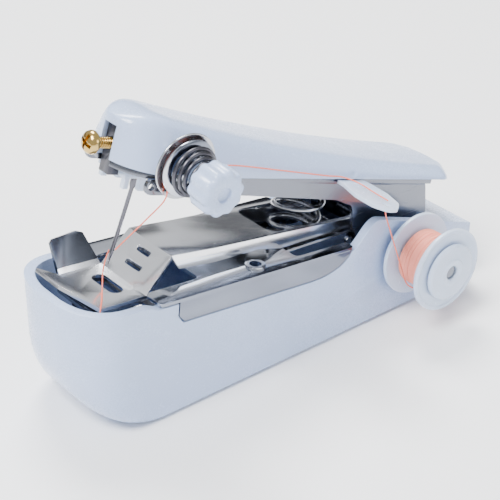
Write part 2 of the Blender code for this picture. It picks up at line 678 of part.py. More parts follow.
# ---------------------------------------------------------------- needle
def build_needle():
    block = box(-82.4, -72.0, -1.6, 1.6, ARM_SEAM - 3.4, 23.2)
    needle_frame = Matrix.Translation((NEEDLE_A * MM, 0.0, 0.0)) @ Matrix.Rotation(NEEDLE_LEAN, 4, "Y")
    bore = rod(NEEDLE_SHANK_RADIUS + FIT, ARM_SEAM - 6.0, 22.0, "Z", sides=16)
    bore.data.transform(needle_frame)
    cut(block, bore, rod(SCREW_SHANK_RADIUS + FIT, -86.0, -78.0, "X", z=SCREW_C, sides=20))
    place(block, "needle_holder", DARK_STEEL, ARM)

    profile = [(0.0, 20.5), (NEEDLE_SHANK_RADIUS, 20.0), (NEEDLE_SHANK_RADIUS, NEEDLE_SHOULDER_C + 1.0),
               (NEEDLE_RADIUS, NEEDLE_SHOULDER_C), (NEEDLE_RADIUS, NEEDLE_TIP_C + 3.2),
               (NEEDLE_RADIUS * 0.55, NEEDLE_TIP_C + 1.2), (0.0, NEEDLE_TIP_C)]
    needle = turned(profile, "Z", 16)
    eye = rod(0.17, -1.0, 1.0, "Y", z=NEEDLE_TIP_C + 3.6, sides=10)
    cut(needle, eye)
    needle.data.transform(needle_frame)
    place(smooth(needle, 50), "needle", STEEL, ARM)

    head = [(0.0, 4.2), (1.3, 4.1), (2.2, 3.6), (SCREW_HEAD_RADIUS, 2.9), (SCREW_HEAD_RADIUS, 2.2),
            (2.1, 1.8),
            (SCREW_SHANK_RADIUS, 1.8), (SCREW_SHANK_RADIUS, -4.4), (0.0, -4.4)]
    screw = turned(head, "Z", 28)
    for turn in (0, 90):
        slot = box(-2.9, 2.9, -0.4, 0.4, 3.2, 5.0)
        slot.data.transform(Matrix.Rotation(math.radians(turn), 4, "Z"))
        cut(screw, slot)
    screw.data.transform(Matrix.Rotation(math.radians(-90), 4, "Y"))
    place(smooth(screw), "needle_screw", BRASS, SCREW)

    guard = box(-80.5, -70.5, -4.6, 4.6, ARM_SEAM - 3.0, ARM_SEAM - 1.6)
    guard_cut = box(-81.5, -71.6, -2.4, 2.4, ARM_SEAM - 4.0, ARM_SEAM - 1.0)
    for y in (-3.8, 3.8):
        join(guard, box(-80.0, -78.8, y - 0.6, y + 0.6, ARM_SEAM - 5.4, ARM_SEAM - 2.0),
             box(-76.0, -74.6, y - 0.6, y + 0.6, ARM_SEAM - 5.8, ARM_SEAM - 2.0))
    cut(guard, guard_cut)
    place(guard, "needle_guard", CLEAR_WHITE, ARM)


# ---------------------------------------------------------------- tension unit
def build_tension():
    stud = rod(STUD_RADIUS, KNOB_FACE_Y + 1.8, -8.6, "Y", sides=20)
    place(smooth(stud), "tension_stud", STEEL, STUD)
    bore = STUD_RADIUS + FIT
    disc = [(DISC_RADIUS, 0.3), (DISC_RADIUS, -0.1), (DISC_RADIUS - 1.6, -0.5), (bore, -0.5), (bore, 0.0),
            (DISC_RADIUS - 1.9, 0.0), (DISC_RADIUS - 0.3, 0.3)]
    rear = turned(disc, "Y", 40, True)
    rear.data.transform(Matrix.Rotation(math.radians(180), 4, "X"))
    rear.data.transform(Matrix.Translation((0.0, (DISC_Y - 0.2) * MM, 0.0)))
    place(smooth(rear), "tension_disc_rear", CHROME, KNOB)
    front_disc = [(DISC_RADIUS - 1.0, 0.2), (DISC_RADIUS - 1.0, -0.2), (DISC_RADIUS - 2.6, -0.6),
                  (bore, -0.6),
                  (bore, 0.0), (DISC_RADIUS - 2.9, 0.0), (DISC_RADIUS - 1.3, 0.2)]
    front = turned(front_disc, "Y", 40, True)
    front.data.transform(Matrix.Translation((0.0, (DISC_Y - 1.45) * MM, 0.0)))
    place(smooth(front), "tension_disc_front", CHROME, KNOB)

    coil = []
    turns, start, end = 3.5, DISC_Y - 2.9, KNOB_FACE_Y + KNOB_LENGTH + 0.9
    for step in range(int(turns * 16) + 1):
        t = step / (turns * 16)
        radius = 5.3 - 2.1 * t
        angle = 2 * math.pi * turns * t
        coil.append((radius * math.cos(angle), start + (end - start) * t, radius * math.sin(angle)))
    place(smooth(wire(coil, 0.5)), "tension_spring", DARK_STEEL, KNOB)

    rim = []
    for index in range(KNOB_FLUTES * 8):
        angle = 2 * math.pi * index / (KNOB_FLUTES * 8)
        radius = KNOB_RADIUS - 0.35 + 0.35 * math.cos(KNOB_FLUTES * angle)
        rim.append((radius * math.cos(angle), radius * math.sin(angle)))
    knob = flat([rim], KNOB_FACE_Y, KNOB_FACE_Y + KNOB_LENGTH, "XZ")
    join(knob, rod(KNOB_NECK, KNOB_FACE_Y + KNOB_LENGTH - 1.0, DISC_Y - 3.6, "Y", sides=20))
    cut(knob, rod(STUD_RADIUS + FIT, KNOB_FACE_Y + 1.5, -10.0, "Y", sides=20),
        rod(1.6, KNOB_FACE_Y - 1.0, KNOB_FACE_Y + 0.8, "Y", sides=20))
    place(smooth(knob, 50), "tension_knob", WHITE, KNOB)


# ---------------------------------------------------------------- thread guide and bobbin
def build_guide_and_bobbin():
    blade = rounded([(-26.6, -9.0), (-27.2, -14.0), (-29.5, -20.0), (-29.9, -26.0), (-28.0, -29.2),
                     (-25.0, -29.0),
                     (-21.6, -26.0), (-19.2, -20.0), (-18.6, -14.0), (-18.6, -9.0)], 3.0, 3)
    leaf = flat([blade, stadium(GUIDE_EYE_A, GUIDE_EYE_Y, 0.7, 1.2)], ARM_SEAM - 1.1, ARM_SEAM - GAP)
    cut(leaf, box(-32.0, -16.0, -11.65, -8.0, ARM_SEAM - 4.0, ARM_SEAM))
    place(smooth(leaf), "thread_guide", CLEAR_WHITE, ARM)

    inner, outer, edge = BOBBIN_INNER_Y, BOBBIN_OUTER_Y, BOBBIN_FLANGE
    bore = PIN_RADIUS + FIT
    profile = [(BOBBIN_RADIUS, inner), (BOBBIN_RADIUS, inner - edge), (BOBBIN_CORE, inner - edge),
               (BOBBIN_CORE, outer + edge), (BOBBIN_RADIUS, outer + edge), (BOBBIN_RADIUS, outer),
               (bore, outer),
               (bore, inner)]
    place(smooth(turned(profile, "Y", 40, True)), "bobbin", CLEAR_WHITE, BOBBIN)
    low, high = outer + edge + GAP, inner - edge - GAP
    pack = turned([(PACK_RADIUS - 0.6, high), (PACK_RADIUS, high - 1.5), (PACK_RADIUS, low + 1.5),
                   (PACK_RADIUS - 0.6, low), (BOBBIN_CORE + GAP, low), (BOBBIN_CORE + GAP, high)], "Y",
                   32, True)
    place(smooth(pack), "bobbin_thread", CORAL, BOBBIN)
    top = outer - GAP
    cap = turned([(CAP_RADIUS, top), (CAP_RADIUS, top - CAP_THICKNESS + 0.3),
                  (CAP_RADIUS - 0.4, top - CAP_THICKNESS),
                  (bore, top - CAP_THICKNESS), (bore, top)], "Y", 40, True)
    place(smooth(cap), "bobbin_cap", WHITE, BOBBIN)


# ---------------------------------------------------------------- springs
def build_main_spring():
    """A compression spring that leans with the arm, from the cup up to the underside of the channel."""
    foot = Vector((SPRING_X, 0.0, SPRING_FOOT_Z + SPRING_WIRE + 0.1))
    lean = (ARM_PITCH - RIM_PITCH) / 2
    seat_a = -25.0
    seat_c = ARM_SEAM - GAP - CHANNEL_SHEET - SPRING_WIRE - GAP
    head = Vector((PIVOT_X + seat_a * math.cos(ARM_PITCH) + seat_c * math.sin(ARM_PITCH), 0.0,
                   PIVOT_Z - seat_a * math.sin(ARM_PITCH) + seat_c * math.cos(ARM_PITCH)))
    points = []
    steps = SPRING_TURNS * 14
    for step in range(steps + 1):
        t = step / steps
        rise = ease(0.0, 1.0, t) * 0.35 + t * 0.65
        centre = foot.lerp(head, rise)
        tilt = ARM_PITCH * ease(0.0, 1.0, t)
        angle = 2 * math.pi * SPRING_TURNS * t
        across = SPRING_RADIUS * math.cos(angle)
        points.append((centre.x + across * math.cos(tilt), SPRING_RADIUS * math.sin(angle),
                       centre.z - across * math.sin(tilt)))
    place(smooth(wire(points, SPRING_WIRE)), "main_spring", STEEL, None)


# ---------------------------------------------------------------- stitch drive inside the tub
def build_drive():
    post_x = LOOPER_X - CRANK * math.sin(LOOPER_SWEEP)
    post_y = -CRANK * math.cos(LOOPER_SWEEP)
    slide = box(post_x - 2.0, PIVOT_X + 3.2, post_y - 1.6, post_y + 1.6, 4.0, 5.2)
    fork = box(PIVOT_X - 3.2, PIVOT_X + 3.2, post_y - 1.6, post_y + 1.6, 4.2, PIVOT_Z - DRIVE_DROP + 1.6)
    cut(fork,
        box(PIVOT_X - 1.1, PIVOT_X + 1.1, post_y - 3.0, post_y + 3.0, PIVOT_Z - DRIVE_DROP - 1.5, 20.0))
    join(slide, fork, rod(1.0, 4.6, LOOPER_Z + 1.6, "Z", x=post_x, y=post_y, sides=16))
    place(smooth(slide), "drive_slide", STEEL, SLIDE)

    hub = flat([circle(0.0, 0.0, 3.0, 24)], LOOPER_Z, LOOPER_Z + 1.2)
    crank = flat([rounded(rectangle(-2.6, 2.6, -CRANK - 2.2, 0.5), 1.6)], LOOPER_Z + 0.05, LOOPER_Z + 1.15)
    hook = flat([rounded([(-0.5, -2.2), (-LOOPER_REACH + 1.5, -2.0), (-LOOPER_REACH, 0.6),
                          (-LOOPER_REACH + 0.6, 2.6),
                          (-LOOPER_REACH + 2.2, 0.4), (-0.5, 2.2)], 0.6)], LOOPER_Z + 0.1, LOOPER_Z + 1.1)
    join(hub, crank, hook)
    cut(hub, rod(1.5 + FIT, LOOPER_Z - 2.0, LOOPER_Z + 3.0, "Z", sides=20),
        flat([stadium(0.0, -CRANK, 1.35, 1.75)], LOOPER_Z - 2.0, LOOPER_Z + 3.0))
    hub.data.transform(Matrix.Rotation(-LOOPER_SWEEP, 4, "Z"))
    place(smooth(hub), "looper_hook", STEEL, LOOPER)

    post = turned([(0.0, LOOPER_Z + 2.2), (1.5, LOOPER_Z + 2.0), (1.5, LOOPER_Z - GAP),
                   (2.6, LOOPER_Z - GAP),
                   (2.6, LOOPER_Z - 2.0), (1.5, LOOPER_Z - 2.0), (1.5, BASE_FLOOR + GAP),
                   (0.0, BASE_FLOOR + GAP)],
                  "Z", 24)
    post.data.transform(Matrix.Translation((LOOPER_X * MM, 0.0, 0.0)))
    place(smooth(post), "looper_post", STEEL, None)

    top = rim_plane(FEED_X) - 3.5
    feed = box(-1.0, 1.0, -5.1, 3.3, top - 3.0, top - 0.35)
    for index in range(7):
        y = -4.5 + 1.2 * index
        tooth = flat([[(y - 0.45, top - 0.5), (y + 0.45, top - 0.5), (y + 0.25, top + 0.1)]], -1.0, 1.0,
                     "XZ")
        tooth.data.transform(Matrix.Rotation(math.radians(90), 4, "Z"))
        join(feed, tooth)
    place(feed, "feed_dog", DARK_STEEL, FEED)


# ---------------------------------------------------------------- thread
def smooth_route(points, spacing):
    """A smooth curve through the points, read off at an even spacing."""
    curve = []
    for index in range(len(points) - 1):
        p0 = Vector(points[max(index - 1, 0)])
        p1, p2 = Vector(points[index]), Vector(points[index + 1])
        p3 = Vector(points[min(index + 2, len(points) - 1)])
        steps = max(2, round((p2 - p1).length / spacing))
        for step in range(steps):
            t = step / steps
            curve.append(0.5 * (2 * p1 + (p2 - p0) * t + (2 * p0 - 5 * p1 + 4 * p2 - p3) * t ** 2
                                + (3 * p1 - p0 - 3 * p2 + p3) * t ** 3))
    curve.append(Vector(points[-1]))
    return [tuple(point) for point in curve]


# Free ends of the thread: a turn round the pack and up to the guide, and the tail over the plate.
SUPPLY_ROUTE = ([(PIVOT_X + PACK_LAY * math.cos(math.radians(t)), BOBBIN_INNER_Y - 4.1,
                  PIVOT_Z + PACK_LAY * math.sin(math.radians(t)))
                 for t in (300, 282, 264, 246, 228, 207)]
                + [(x, y, PIVOT_Z + rise)
                   for x, y, rise in ((25.2, -22.6, 4.3), (20.8, -24.3, 12.7), (16.9, -25.9, 20.1),
                                      (16.1, -26.4, 21.9))])
TAIL_ROUTE = [(x, y, RIM_HEIGHT + rise)
              for x, y,
              rise in ((-37.1, 0.9, 10.1), (-38.6, 1.7, 8.4), (-39.9, 1.0, 6.1), (-40.6, -0.8, 4.0),
                                 (-41.6, -2.6, 3.5), (-43.6, -5.6, 3.8), (-45.4, -8.0, 4.1),
                                 (-47.0, -9.8, 3.4), (-47.9, -10.6, 0.7), (-48.0, -10.8, -2.9),
                                 (-47.6, -10.4, -6.9), (-47.0, -9.6, -10.3))]
# The taut run along the arm, in the arm's frame: guide, tension discs, eyelet, needle.
RUN_ROUTE = [(GUIDE_EYE_A, GUIDE_EYE_Y, 16.9), (-25.6, -22.0, 16.9), (-25.4, -16.5, 17.1),
             (-27.4, -13.1, 17.2), (-32.0, -12.6, 17.3), (-46.0, -12.6, 18.4), (-58.0, -12.9, 19.4),
             (-65.3, -13.6, 19.8),
             (-67.5, -13.69, 20.8), (-69.9, -13.77, 21.7), (-72.7, -13.8, 22.1), (-75.3, -13.69, 20.8),
             (-76.1, -13.44, 18.0), (-76.1, -13.16, 14.8), (-76.0, -12.9, 11.8), (-75.8, -8.6, 5.9),
             (-75.4, -0.95, -3.9)]


def build_thread():
    for name, route, frame in (("thread_supply", SUPPLY_ROUTE, None), ("thread_run", RUN_ROUTE, ARM),
                               ("thread_tail", TAIL_ROUTE, None)):
        place(smooth(wire(smooth_route(route, 1.4), THREAD_RADIUS)), name, CORAL, frame)


# ---------------------------------------------------------------- the whole machine
for old in list(bpy.data.objects):
    bpy.data.objects.remove(old)
PARTS = collection("mini_sewing_machine")

WHITE = material("white_plastic", (0.80, 0.83, 0.90), 0.28)
CLEAR_WHITE = material("translucent_plastic", (0.86, 0.87, 0.92), 0.3)
CHROME = material("bright_sheet", (0.78, 0.80, 0.84), 0.12, 1.0)
STEEL = material("steel", (0.6, 0.6, 0.62), 0.25, 1.0)
DARK_STEEL = material("dark_steel", (0.12, 0.12, 0.13), 0.35, 1.0)
BRASS = material("brass", (0.78, 0.62, 0.28), 0.25, 1.0)
CORAL = material("coral_thread", (0.93, 0.33, 0.24), 0.8)

DECK = empty("deck_frame", z=RIM_HEIGHT, pitch=RIM_PITCH)
ARM = empty("arm_frame", x=PIVOT_X, z=PIVOT_Z, pitch=ARM_PITCH)
SCREW = empty("screw_frame", x=SCREW_A, z=SCREW_C, parent=ARM)
STUD = empty("stud_frame", x=STUD_A, z=STUD_C, parent=ARM)
STUD.rotation_euler = (TENSION_DROOP, 0.0, 0.0)
KNOB = empty("knob_frame", x=STUD_A, z=STUD_C, parent=ARM)
KNOB.rotation_euler = (TENSION_DROOP, 0.0, 0.0)
PRESSER = empty("presser_frame", x=PRESSER_PIN_X, z=PRESSER_PIN_Z)
BOBBIN = empty("bobbin_frame", x=PIVOT_X, z=PIVOT_Z)
LOOPER = empty("looper_frame", x=LOOPER_X)
SLIDE = empty("slide_frame")
FEED = empty("feed_frame", x=FEED_X)


def deck_point(x, z):
    """A world point in the deck's frame."""
    dx, dz = x, z - RIM_HEIGHT
    return (dx * math.cos(RIM_PITCH) - dz * math.sin(RIM_PITCH),
            dx * math.sin(RIM_PITCH) + dz * math.cos(RIM_PITCH))


DECK_PIN = deck_point(PRESSER_PIN_X, PRESSER_PIN_Z)
NEEDLE_U = deck_point(SLOT_X, rim_plane(SLOT_X) - 3.7)[0]
FEED_U = deck_point(FEED_X, rim_plane(FEED_X) - 3.7)[0]

build_base()
build_deck()
build_presser()
build_arm()
build_needle()
build_tension()
build_guide_and_bobbin()
build_main_spring()
build_drive()
build_thread()
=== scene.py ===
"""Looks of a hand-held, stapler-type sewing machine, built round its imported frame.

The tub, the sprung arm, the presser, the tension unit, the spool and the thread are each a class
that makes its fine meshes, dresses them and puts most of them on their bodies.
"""
from __future__ import annotations

import json
import logging
import math
from dataclasses import dataclass
from enum import Enum
from typing import Any, Sequence

import bmesh
import bpy
from mathutils import Matrix, Vector


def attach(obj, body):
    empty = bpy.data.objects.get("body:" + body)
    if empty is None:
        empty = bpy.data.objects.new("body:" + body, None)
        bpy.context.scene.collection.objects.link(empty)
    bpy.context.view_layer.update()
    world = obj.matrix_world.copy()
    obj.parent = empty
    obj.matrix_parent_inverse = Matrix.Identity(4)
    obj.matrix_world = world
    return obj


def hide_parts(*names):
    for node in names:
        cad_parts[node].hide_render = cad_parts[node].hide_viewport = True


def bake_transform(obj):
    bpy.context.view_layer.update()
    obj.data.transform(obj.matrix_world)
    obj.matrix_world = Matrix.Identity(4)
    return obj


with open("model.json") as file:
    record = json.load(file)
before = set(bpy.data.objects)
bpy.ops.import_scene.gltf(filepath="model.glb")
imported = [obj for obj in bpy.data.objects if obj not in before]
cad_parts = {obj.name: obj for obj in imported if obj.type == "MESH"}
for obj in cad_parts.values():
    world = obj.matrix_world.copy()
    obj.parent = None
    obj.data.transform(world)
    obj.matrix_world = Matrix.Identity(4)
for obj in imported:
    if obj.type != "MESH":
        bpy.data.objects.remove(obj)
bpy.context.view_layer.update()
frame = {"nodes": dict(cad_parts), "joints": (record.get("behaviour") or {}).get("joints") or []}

MM = 0.001
LOG = logging.getLogger("sewing_machine")
Colour = tuple[float, float, float]
Point = tuple[float, float, float]
Corner = tuple[float, float]
TOUCHING = 1e-7     # corners closer than this, in metres, are one


# ------------------------------------------------------------------------------------------------
# Shader maths
# ------------------------------------------------------------------------------------------------
class Wire:
    """A node's output that takes part in Python arithmetic."""

    def __init__(self, bench: "Bench", socket: bpy.types.NodeSocket) -> None:
        """Keep the bench that adds nodes, and the socket that this wire comes from."""
        self.bench = bench
        self.socket = socket

    def _maths(self, operation: str, first: Any, second: Any) -> "Wire":
        """Add one Math node.

        Args:
            operation: The Math node's operation.
            first: Its first value, a number or a wire.
            second: Its second value, a number or a wire.

        Returns:
            The node's result.
        """
        node = self.bench.add("ShaderNodeMath", {"operation": operation})
        self.bench.feed(node.inputs[0], first)
        self.bench.feed(node.inputs[1], second)
        return Wire(self.bench, node.outputs[0])

    def __add__(self, other: Any) -> "Wire":
        """Sum of two values."""
        return self._maths("ADD", self, other)

    __radd__ = __add__

    def __sub__(self, other: Any) -> "Wire":
        """This value less the other."""
        return self._maths("SUBTRACT", self, other)

    def __rsub__(self, other: Any) -> "Wire":
        """The other value less this one."""
        return self._maths("SUBTRACT", other, self)

    def __mul__(self, other: Any) -> "Wire":
        """Product of two values."""
        return self._maths("MULTIPLY", self, other)

    __rmul__ = __mul__

    def __truediv__(self, other: Any) -> "Wire":
        """This value divided by the other."""
        return self._maths("DIVIDE", self, other)

    def above(self, limit: float) -> "Wire":
        """One where this value is over the limit, and nought elsewhere."""
        return self._maths("GREATER_THAN", self, limit)


class Bench:
    """One node tree, with a single way to add nodes to it."""

    def __init__(self, tree: bpy.types.NodeTree) -> None:
        """Take the tree and empty it."""
        self.tree = tree
        tree.nodes.clear()

    def add(self, kind: str, settings: dict[str, Any] | None = None,
            sockets: dict[str, Any] | None = None) -> bpy.types.Node:
        """Add a node.

        Args:
            kind: The node's type.
            settings: Its own settings, set first; "stops" lists a ramp's positions and colours.
            sockets: Values or wires for its inputs, by name or identifier.

        Returns:
            The new node.
        """
        node = self.tree.nodes.new(kind)
        for name, value in (settings or {}).items():
            if name == "stops":
                self._set_stops(node.color_ramp, value)
            else:
                setattr(node, name, value)
        for name, value in (sockets or {}).items():
            self.feed(self.inlet(node, name), value)
        return node

    @staticmethod
    def _set_stops(ramp: bpy.types.ColorRamp, stops: Sequence[tuple[float, Colour]]) -> None:
        """Give a ramp its positions and colours.

        Args:
            ramp: The ramp, which starts with two stops.
            stops: Each stop's position and colour, in order.
        """
        while len(ramp.elements) < len(stops):
            ramp.elements.new(1.0)
        for element, (position, colour) in zip(ramp.elements, stops):
            element.position = position
            element.color = (*colour, 1.0)

    @staticmethod
    def inlet(node: bpy.types.Node, name: str) -> bpy.types.NodeSocket:
        """Find an input of a node.

        Args:
            node: The node.
            name: The input's identifier, or else its name.

        Returns:
            The input's socket.
        """
        for socket in node.inputs:
            if socket.identifier == name:
                return socket
        return node.inputs[name]

    def feed(self, socket: bpy.types.NodeSocket, value: Any) -> None:
        """Link a wire to an input, or set the input's own value.

        Args:
            socket: The input.
            value: A wire, an output socket or a plain value.
        """
        if isinstance(value, Wire):
            self.tree.links.new(value.socket, socket)
        elif isinstance(value, bpy.types.NodeSocket):
            self.tree.links.new(value, socket)
        else:
            socket.default_value = value

    def wire(self, kind: str, settings: dict[str, Any] | None = None,
             sockets: dict[str, Any] | None = None, output: str | int = 0) -> Wire:
        """Add a node and take one of its outputs as a wire.

        Args:
            kind: The node's type.
            settings: Its own settings.
            sockets: Values or wires for its inputs.
            output: Name or number of the output.

        Returns:
            The output.
        """
        return Wire(self, self.add(kind, settings, sockets).outputs[output])

    def mix(self, share: Any, first: Any, second: Any) -> Wire:
        """Mix two colours.

        Args:
            share: How much of the second colour, a number or a wire.
            first: The first colour, three numbers or a wire.
            second: The second colour, three numbers or a wire.

        Returns:
            The mixed colour.
        """
        pair = [colour if isinstance(colour, Wire) else (*colour, 1.0) for colour in (first, second)]
        node = self.add("ShaderNodeMix", {"data_type": "RGBA", "clamp_factor": True},
                        {"Factor_Float": share, "A_Color": pair[0], "B_Color": pair[1]})
        return Wire(self, next(out for out in node.outputs if out.identifier == "Result_Color"))


class Grain(Enum):
    """Which way the marks of a finish run."""

    EVEN = (1.0, 1.0, 1.0)
    ALONG_X = (0.06, 1.0, 1.0)
    ALONG_Y = (1.0, 0.06, 1.0)


@dataclass(frozen=True)
class Finish:
    """A surface: its colour, how it shines, the marks of its making and use, and on some sheets a painted
    dark reflection beyond an edge.

    Attributes:
        name: The material's name.
        colour: Main colour.
        shade: Colour of the faint clouding over it; on thread, the painted shade in the grooves between the
            plies.
        roughness: Mean roughness.
        metallic: One for a metal.
        spread: How far the roughness varies.
        grain: Which way the fine marks run.
        grain_scale: Fineness of the marks, in waves a metre.
        relief: Height of the marks, in metres.
        scuffs: Share of the surface with light scuffing.
        coat: Weight of the clear gloss on top.
        glow: Share of light that passes into the material.
        cloudiness: How strongly the shade shows.
        edge: Distance from the middle plane, in metres, beyond which the painted dark reflection shows, or
            none.
        dark_reflection_colour: Colour of the painted dark reflection beyond the edge.
    """

    name: str
    colour: Colour
    shade: Colour
    roughness: float
    metallic: float = 0.0
    spread: float = 0.08
    grain: Grain = Grain.EVEN
    grain_scale: float = 2600.0
    relief: float = 0.000006
    scuffs: float = 0.1
    coat: float = 0.0
    glow: float = 0.0
    cloudiness: float = 0.5
    edge: float | None = None
    dark_reflection_colour: Colour = (0.0, 0.0, 0.0)

    def marks(self, bench: Bench) -> tuple[Wire, Wire, Wire]:
        """Lay out the patterns that every finish shares.

        Args:
            bench: The material's bench.

        Returns:
            The clouding, the fine marks and the scuffs, each from nought to one.
        """
        place = bench.wire("ShaderNodeTexCoord", output="Object")
        turned = bench.wire("ShaderNodeMapping", {}, {"Vector": place, "Scale": self.grain.value})
        cloud = bench.wire("ShaderNodeTexNoise", {}, {"Vector": place, "Scale": 90.0, "Detail": 4.0})
        fine = bench.wire("ShaderNodeTexNoise", {},
                          {"Vector": turned, "Scale": self.grain_scale, "Detail": 3.0, "Roughness": 0.6})
        streak = bench.wire("ShaderNodeTexNoise", {},
                            {"Vector": turned, "Scale": 700.0, "Detail": 5.0, "Distortion": 1.5})
        scuff = bench.wire("ShaderNodeMapRange", {"interpolation_type": "SMOOTHSTEP"},
                           {"Value": streak, "From Min": 0.62, "From Max": 0.72})
        return cloud, fine, scuff * self.scuffs * 4.0

    def material(self) -> bpy.types.Material:
        """Build the material once, and hand back the same one after that.

        Returns:
            The material.
        """
        known = bpy.data.materials.get(self.name)
        if known:
            return known
        made = bpy.data.materials.new(self.name)
        made.use_nodes = True
        bench = Bench(made.node_tree)
        surface = self.surface(bench)
        out = bench.add("ShaderNodeOutputMaterial")
        bench.feed(out.inputs["Surface"], surface.outputs["BSDF"])
        return made

    def tint(self, bench: Bench, cloud: Wire) -> Wire:
        """Cloud the main colour, and paint a dark reflection beyond the edge where the finish has one.

        Args:
            bench: The material's bench.
            cloud: The clouding, from nought to one.

        Returns:
            The colour.
        """
        tint = bench.mix(cloud * self.cloudiness, self.colour, self.shade)
        if self.edge is None:
            return tint
        place = bench.wire("ShaderNodeTexCoord", output="Object")
        parts = bench.add("ShaderNodeSeparateXYZ", {}, {"Vector": place})
        aside = bench.wire("ShaderNodeMath", {"operation": "ABSOLUTE"}, {"Value": parts.outputs["Y"]})
        # beyond the edge the colour turns to a painted dark reflection
        return bench.mix(aside.above(self.edge), tint, self.dark_reflection_colour)

    def surface(self, bench: Bench) -> bpy.types.Node:
        """Join colour, roughness and relief to the surface shader.

        Args:
            bench: The material's bench.

        Returns:
            The shader.
        """
        cloud, fine, scuff = self.marks(bench)
        tint = self.tint(bench, cloud)
        rough = (cloud - 0.5) * self.spread + (fine - 0.5) * self.spread + scuff * 0.2 + self.roughness
        normal = bench.wire("ShaderNodeBump", {}, {"Strength": 1.0, "Distance": self.relief,
                                                   "Height": fine - scuff * 0.6})
        surface = bench.add("ShaderNodeBsdfPrincipled", {}, {
            "Base Color": tint, "Roughness": rough, "Metallic": self.metallic, "Normal": normal,
            "Coat Weight": self.coat, "Coat Roughness": 0.12})
        if self.glow:
            surface.inputs["Subsurface Weight"].default_value = self.glow
            surface.inputs["Subsurface Radius"].default_value = (1.0, 0.9, 0.85)
            surface.inputs["Subsurface Scale"].default_value = 1.2 * MM
        return surface


@dataclass(frozen=True)
class Yarn(Finish):
    """Spun thread: a two-ply twist that follows the piece's own UV map, with stray fibres; the shade colour
    is painted into the grooves between the plies as painted shade.

    Attributes:
        twist: Turns of the twist for each millimetre along the thread.
        plies: Strands that are twisted together.
    """

    twist: float = 1.0
    plies: float = 2.0

    def surface(self, bench: Bench) -> bpy.types.Node:
        """Join the twist's relief and roughness to the surface shader, with painted shade in the grooves
        between the plies.

        Args:
            bench: The material's bench.

        Returns:
            The shader.
        """
        lie = bench.wire("ShaderNodeUVMap", {"uv_map": "along"})
        parts = bench.add("ShaderNodeSeparateXYZ", {}, {"Vector": lie})
        turns = Wire(bench, parts.outputs["X"]) * self.twist + Wire(bench, parts.outputs["Y"]) * self.plies
        wave = turns * (2 * math.pi)
        ply = bench.wire("ShaderNodeMath", {"operation": "SINE"}, {"Value": wave}) * 0.5 + 0.5
        place = bench.wire("ShaderNodeTexCoord", output="Object")
        fibre = bench.wire("ShaderNodeTexNoise", {}, {"Vector": place, "Scale": 9000.0, "Detail": 3.0})
        cloud = bench.wire("ShaderNodeTexNoise", {}, {"Vector": place, "Scale": 400.0, "Detail": 3.0})
        # the grooves between the plies take the darker shade colour as painted shade; the cloud and fibre
        # noise are the thread's own uneven tone
        depth = ply * 0.7 + fibre * 0.3
        tint = bench.mix(depth * 0.8 + cloud * 0.2, self.shade, self.colour)
        rough = fibre * self.spread + self.roughness
        normal = bench.wire("ShaderNodeBump", {}, {"Strength": 1.0, "Distance": self.relief,
                                                   "Height": depth})
        return bench.add("ShaderNodeBsdfPrincipled", {}, {
            "Base Color": tint, "Roughness": rough, "Normal": normal, "Sheen Weight": 0.08,
            "Sheen Roughness": 0.5, "Sheen Tint": (*self.colour, 1.0)})


WHITE = Finish("white_moulding", (0.43, 0.535, 0.77), (0.38, 0.48, 0.71), 0.27, spread=0.05, relief=0.000003,
               scuffs=0.05, coat=0.35, glow=0.12, cloudiness=0.35)
MILKY = Finish("milky_moulding", (0.54, 0.63, 0.79), (0.47, 0.56, 0.72), 0.24, spread=0.05, relief=0.000003,
               coat=0.3, glow=0.5, cloudiness=0.3)
# The plated sheet is painted dark beyond 14.7 mm from the middle plane, mainly on the deck's side flanges: a
# painted dark reflection.
PLATED = Finish("plated_sheet", (0.60, 0.63, 0.69), (0.46, 0.48, 0.54), 0.12, metallic=1.0, spread=0.08,
                grain=Grain.ALONG_X, relief=0.0000015, scuffs=0.08, edge=0.0147,
                dark_reflection_colour=(0.22, 0.24, 0.29))
# The pressed sheet is painted dark beyond 8.8 mm from the middle plane, on the presser's guide wing: a
# painted dark reflection.
PRESSED = Finish("pressed_sheet", (0.95, 0.96, 0.99), (0.84, 0.85, 0.89), 0.2, metallic=1.0, spread=0.08,
                 grain=Grain.ALONG_X, relief=0.0000015, scuffs=0.08, edge=0.0088,
                 dark_reflection_colour=(0.10, 0.11, 0.135))
BRIGHT = Finish("bright_steel", (0.50, 0.51, 0.54), (0.34, 0.35, 0.38), 0.2, metallic=1.0, spread=0.1,
                relief=0.000002, scuffs=0.12)
CHANNEL = Finish("rolled_steel", (0.20, 0.212, 0.245), (0.13, 0.14, 0.165), 0.24, metallic=1.0, spread=0.12,
                 grain=Grain.ALONG_X, relief=0.000003, scuffs=0.12)
BLACKENED = Finish("blackened_steel", (0.10, 0.10, 0.115), (0.05, 0.05, 0.06), 0.3, metallic=1.0, spread=0.15,
                   relief=0.000003, scuffs=0.12)
BRASS = Finish("gilt_brass", (0.60, 0.42, 0.15), (0.36, 0.23, 0.07), 0.15, metallic=1.0, spread=0.14,
               relief=0.000003, scuffs=0.12)
NEEDLE = Finish("needle_steel", (0.14, 0.14, 0.16), (0.07, 0.07, 0.085), 0.16, metallic=1.0, spread=0.1,
                relief=0.000001, scuffs=0.12)
CORAL = Yarn("coral_thread", (0.88, 0.045, 0.014), (0.55, 0.012, 0.004), 0.6, spread=0.2, relief=0.00004)
# The free thread is the same thread as the wound pack, painted paler: painted light on its thin runs.
LIT_STRAND = Yarn("coral_strand_painted_pale", (0.95, 0.24, 0.15), (0.78, 0.12, 0.07), 0.6, spread=0.2, relief=0.00003)
FLOOR = Finish("pale_floor", (0.97, 0.972, 0.98), (0.96, 0.962, 0.97), 0.6, spread=0.02, relief=0.0,
               scuffs=0.0, cloudiness=0.2)


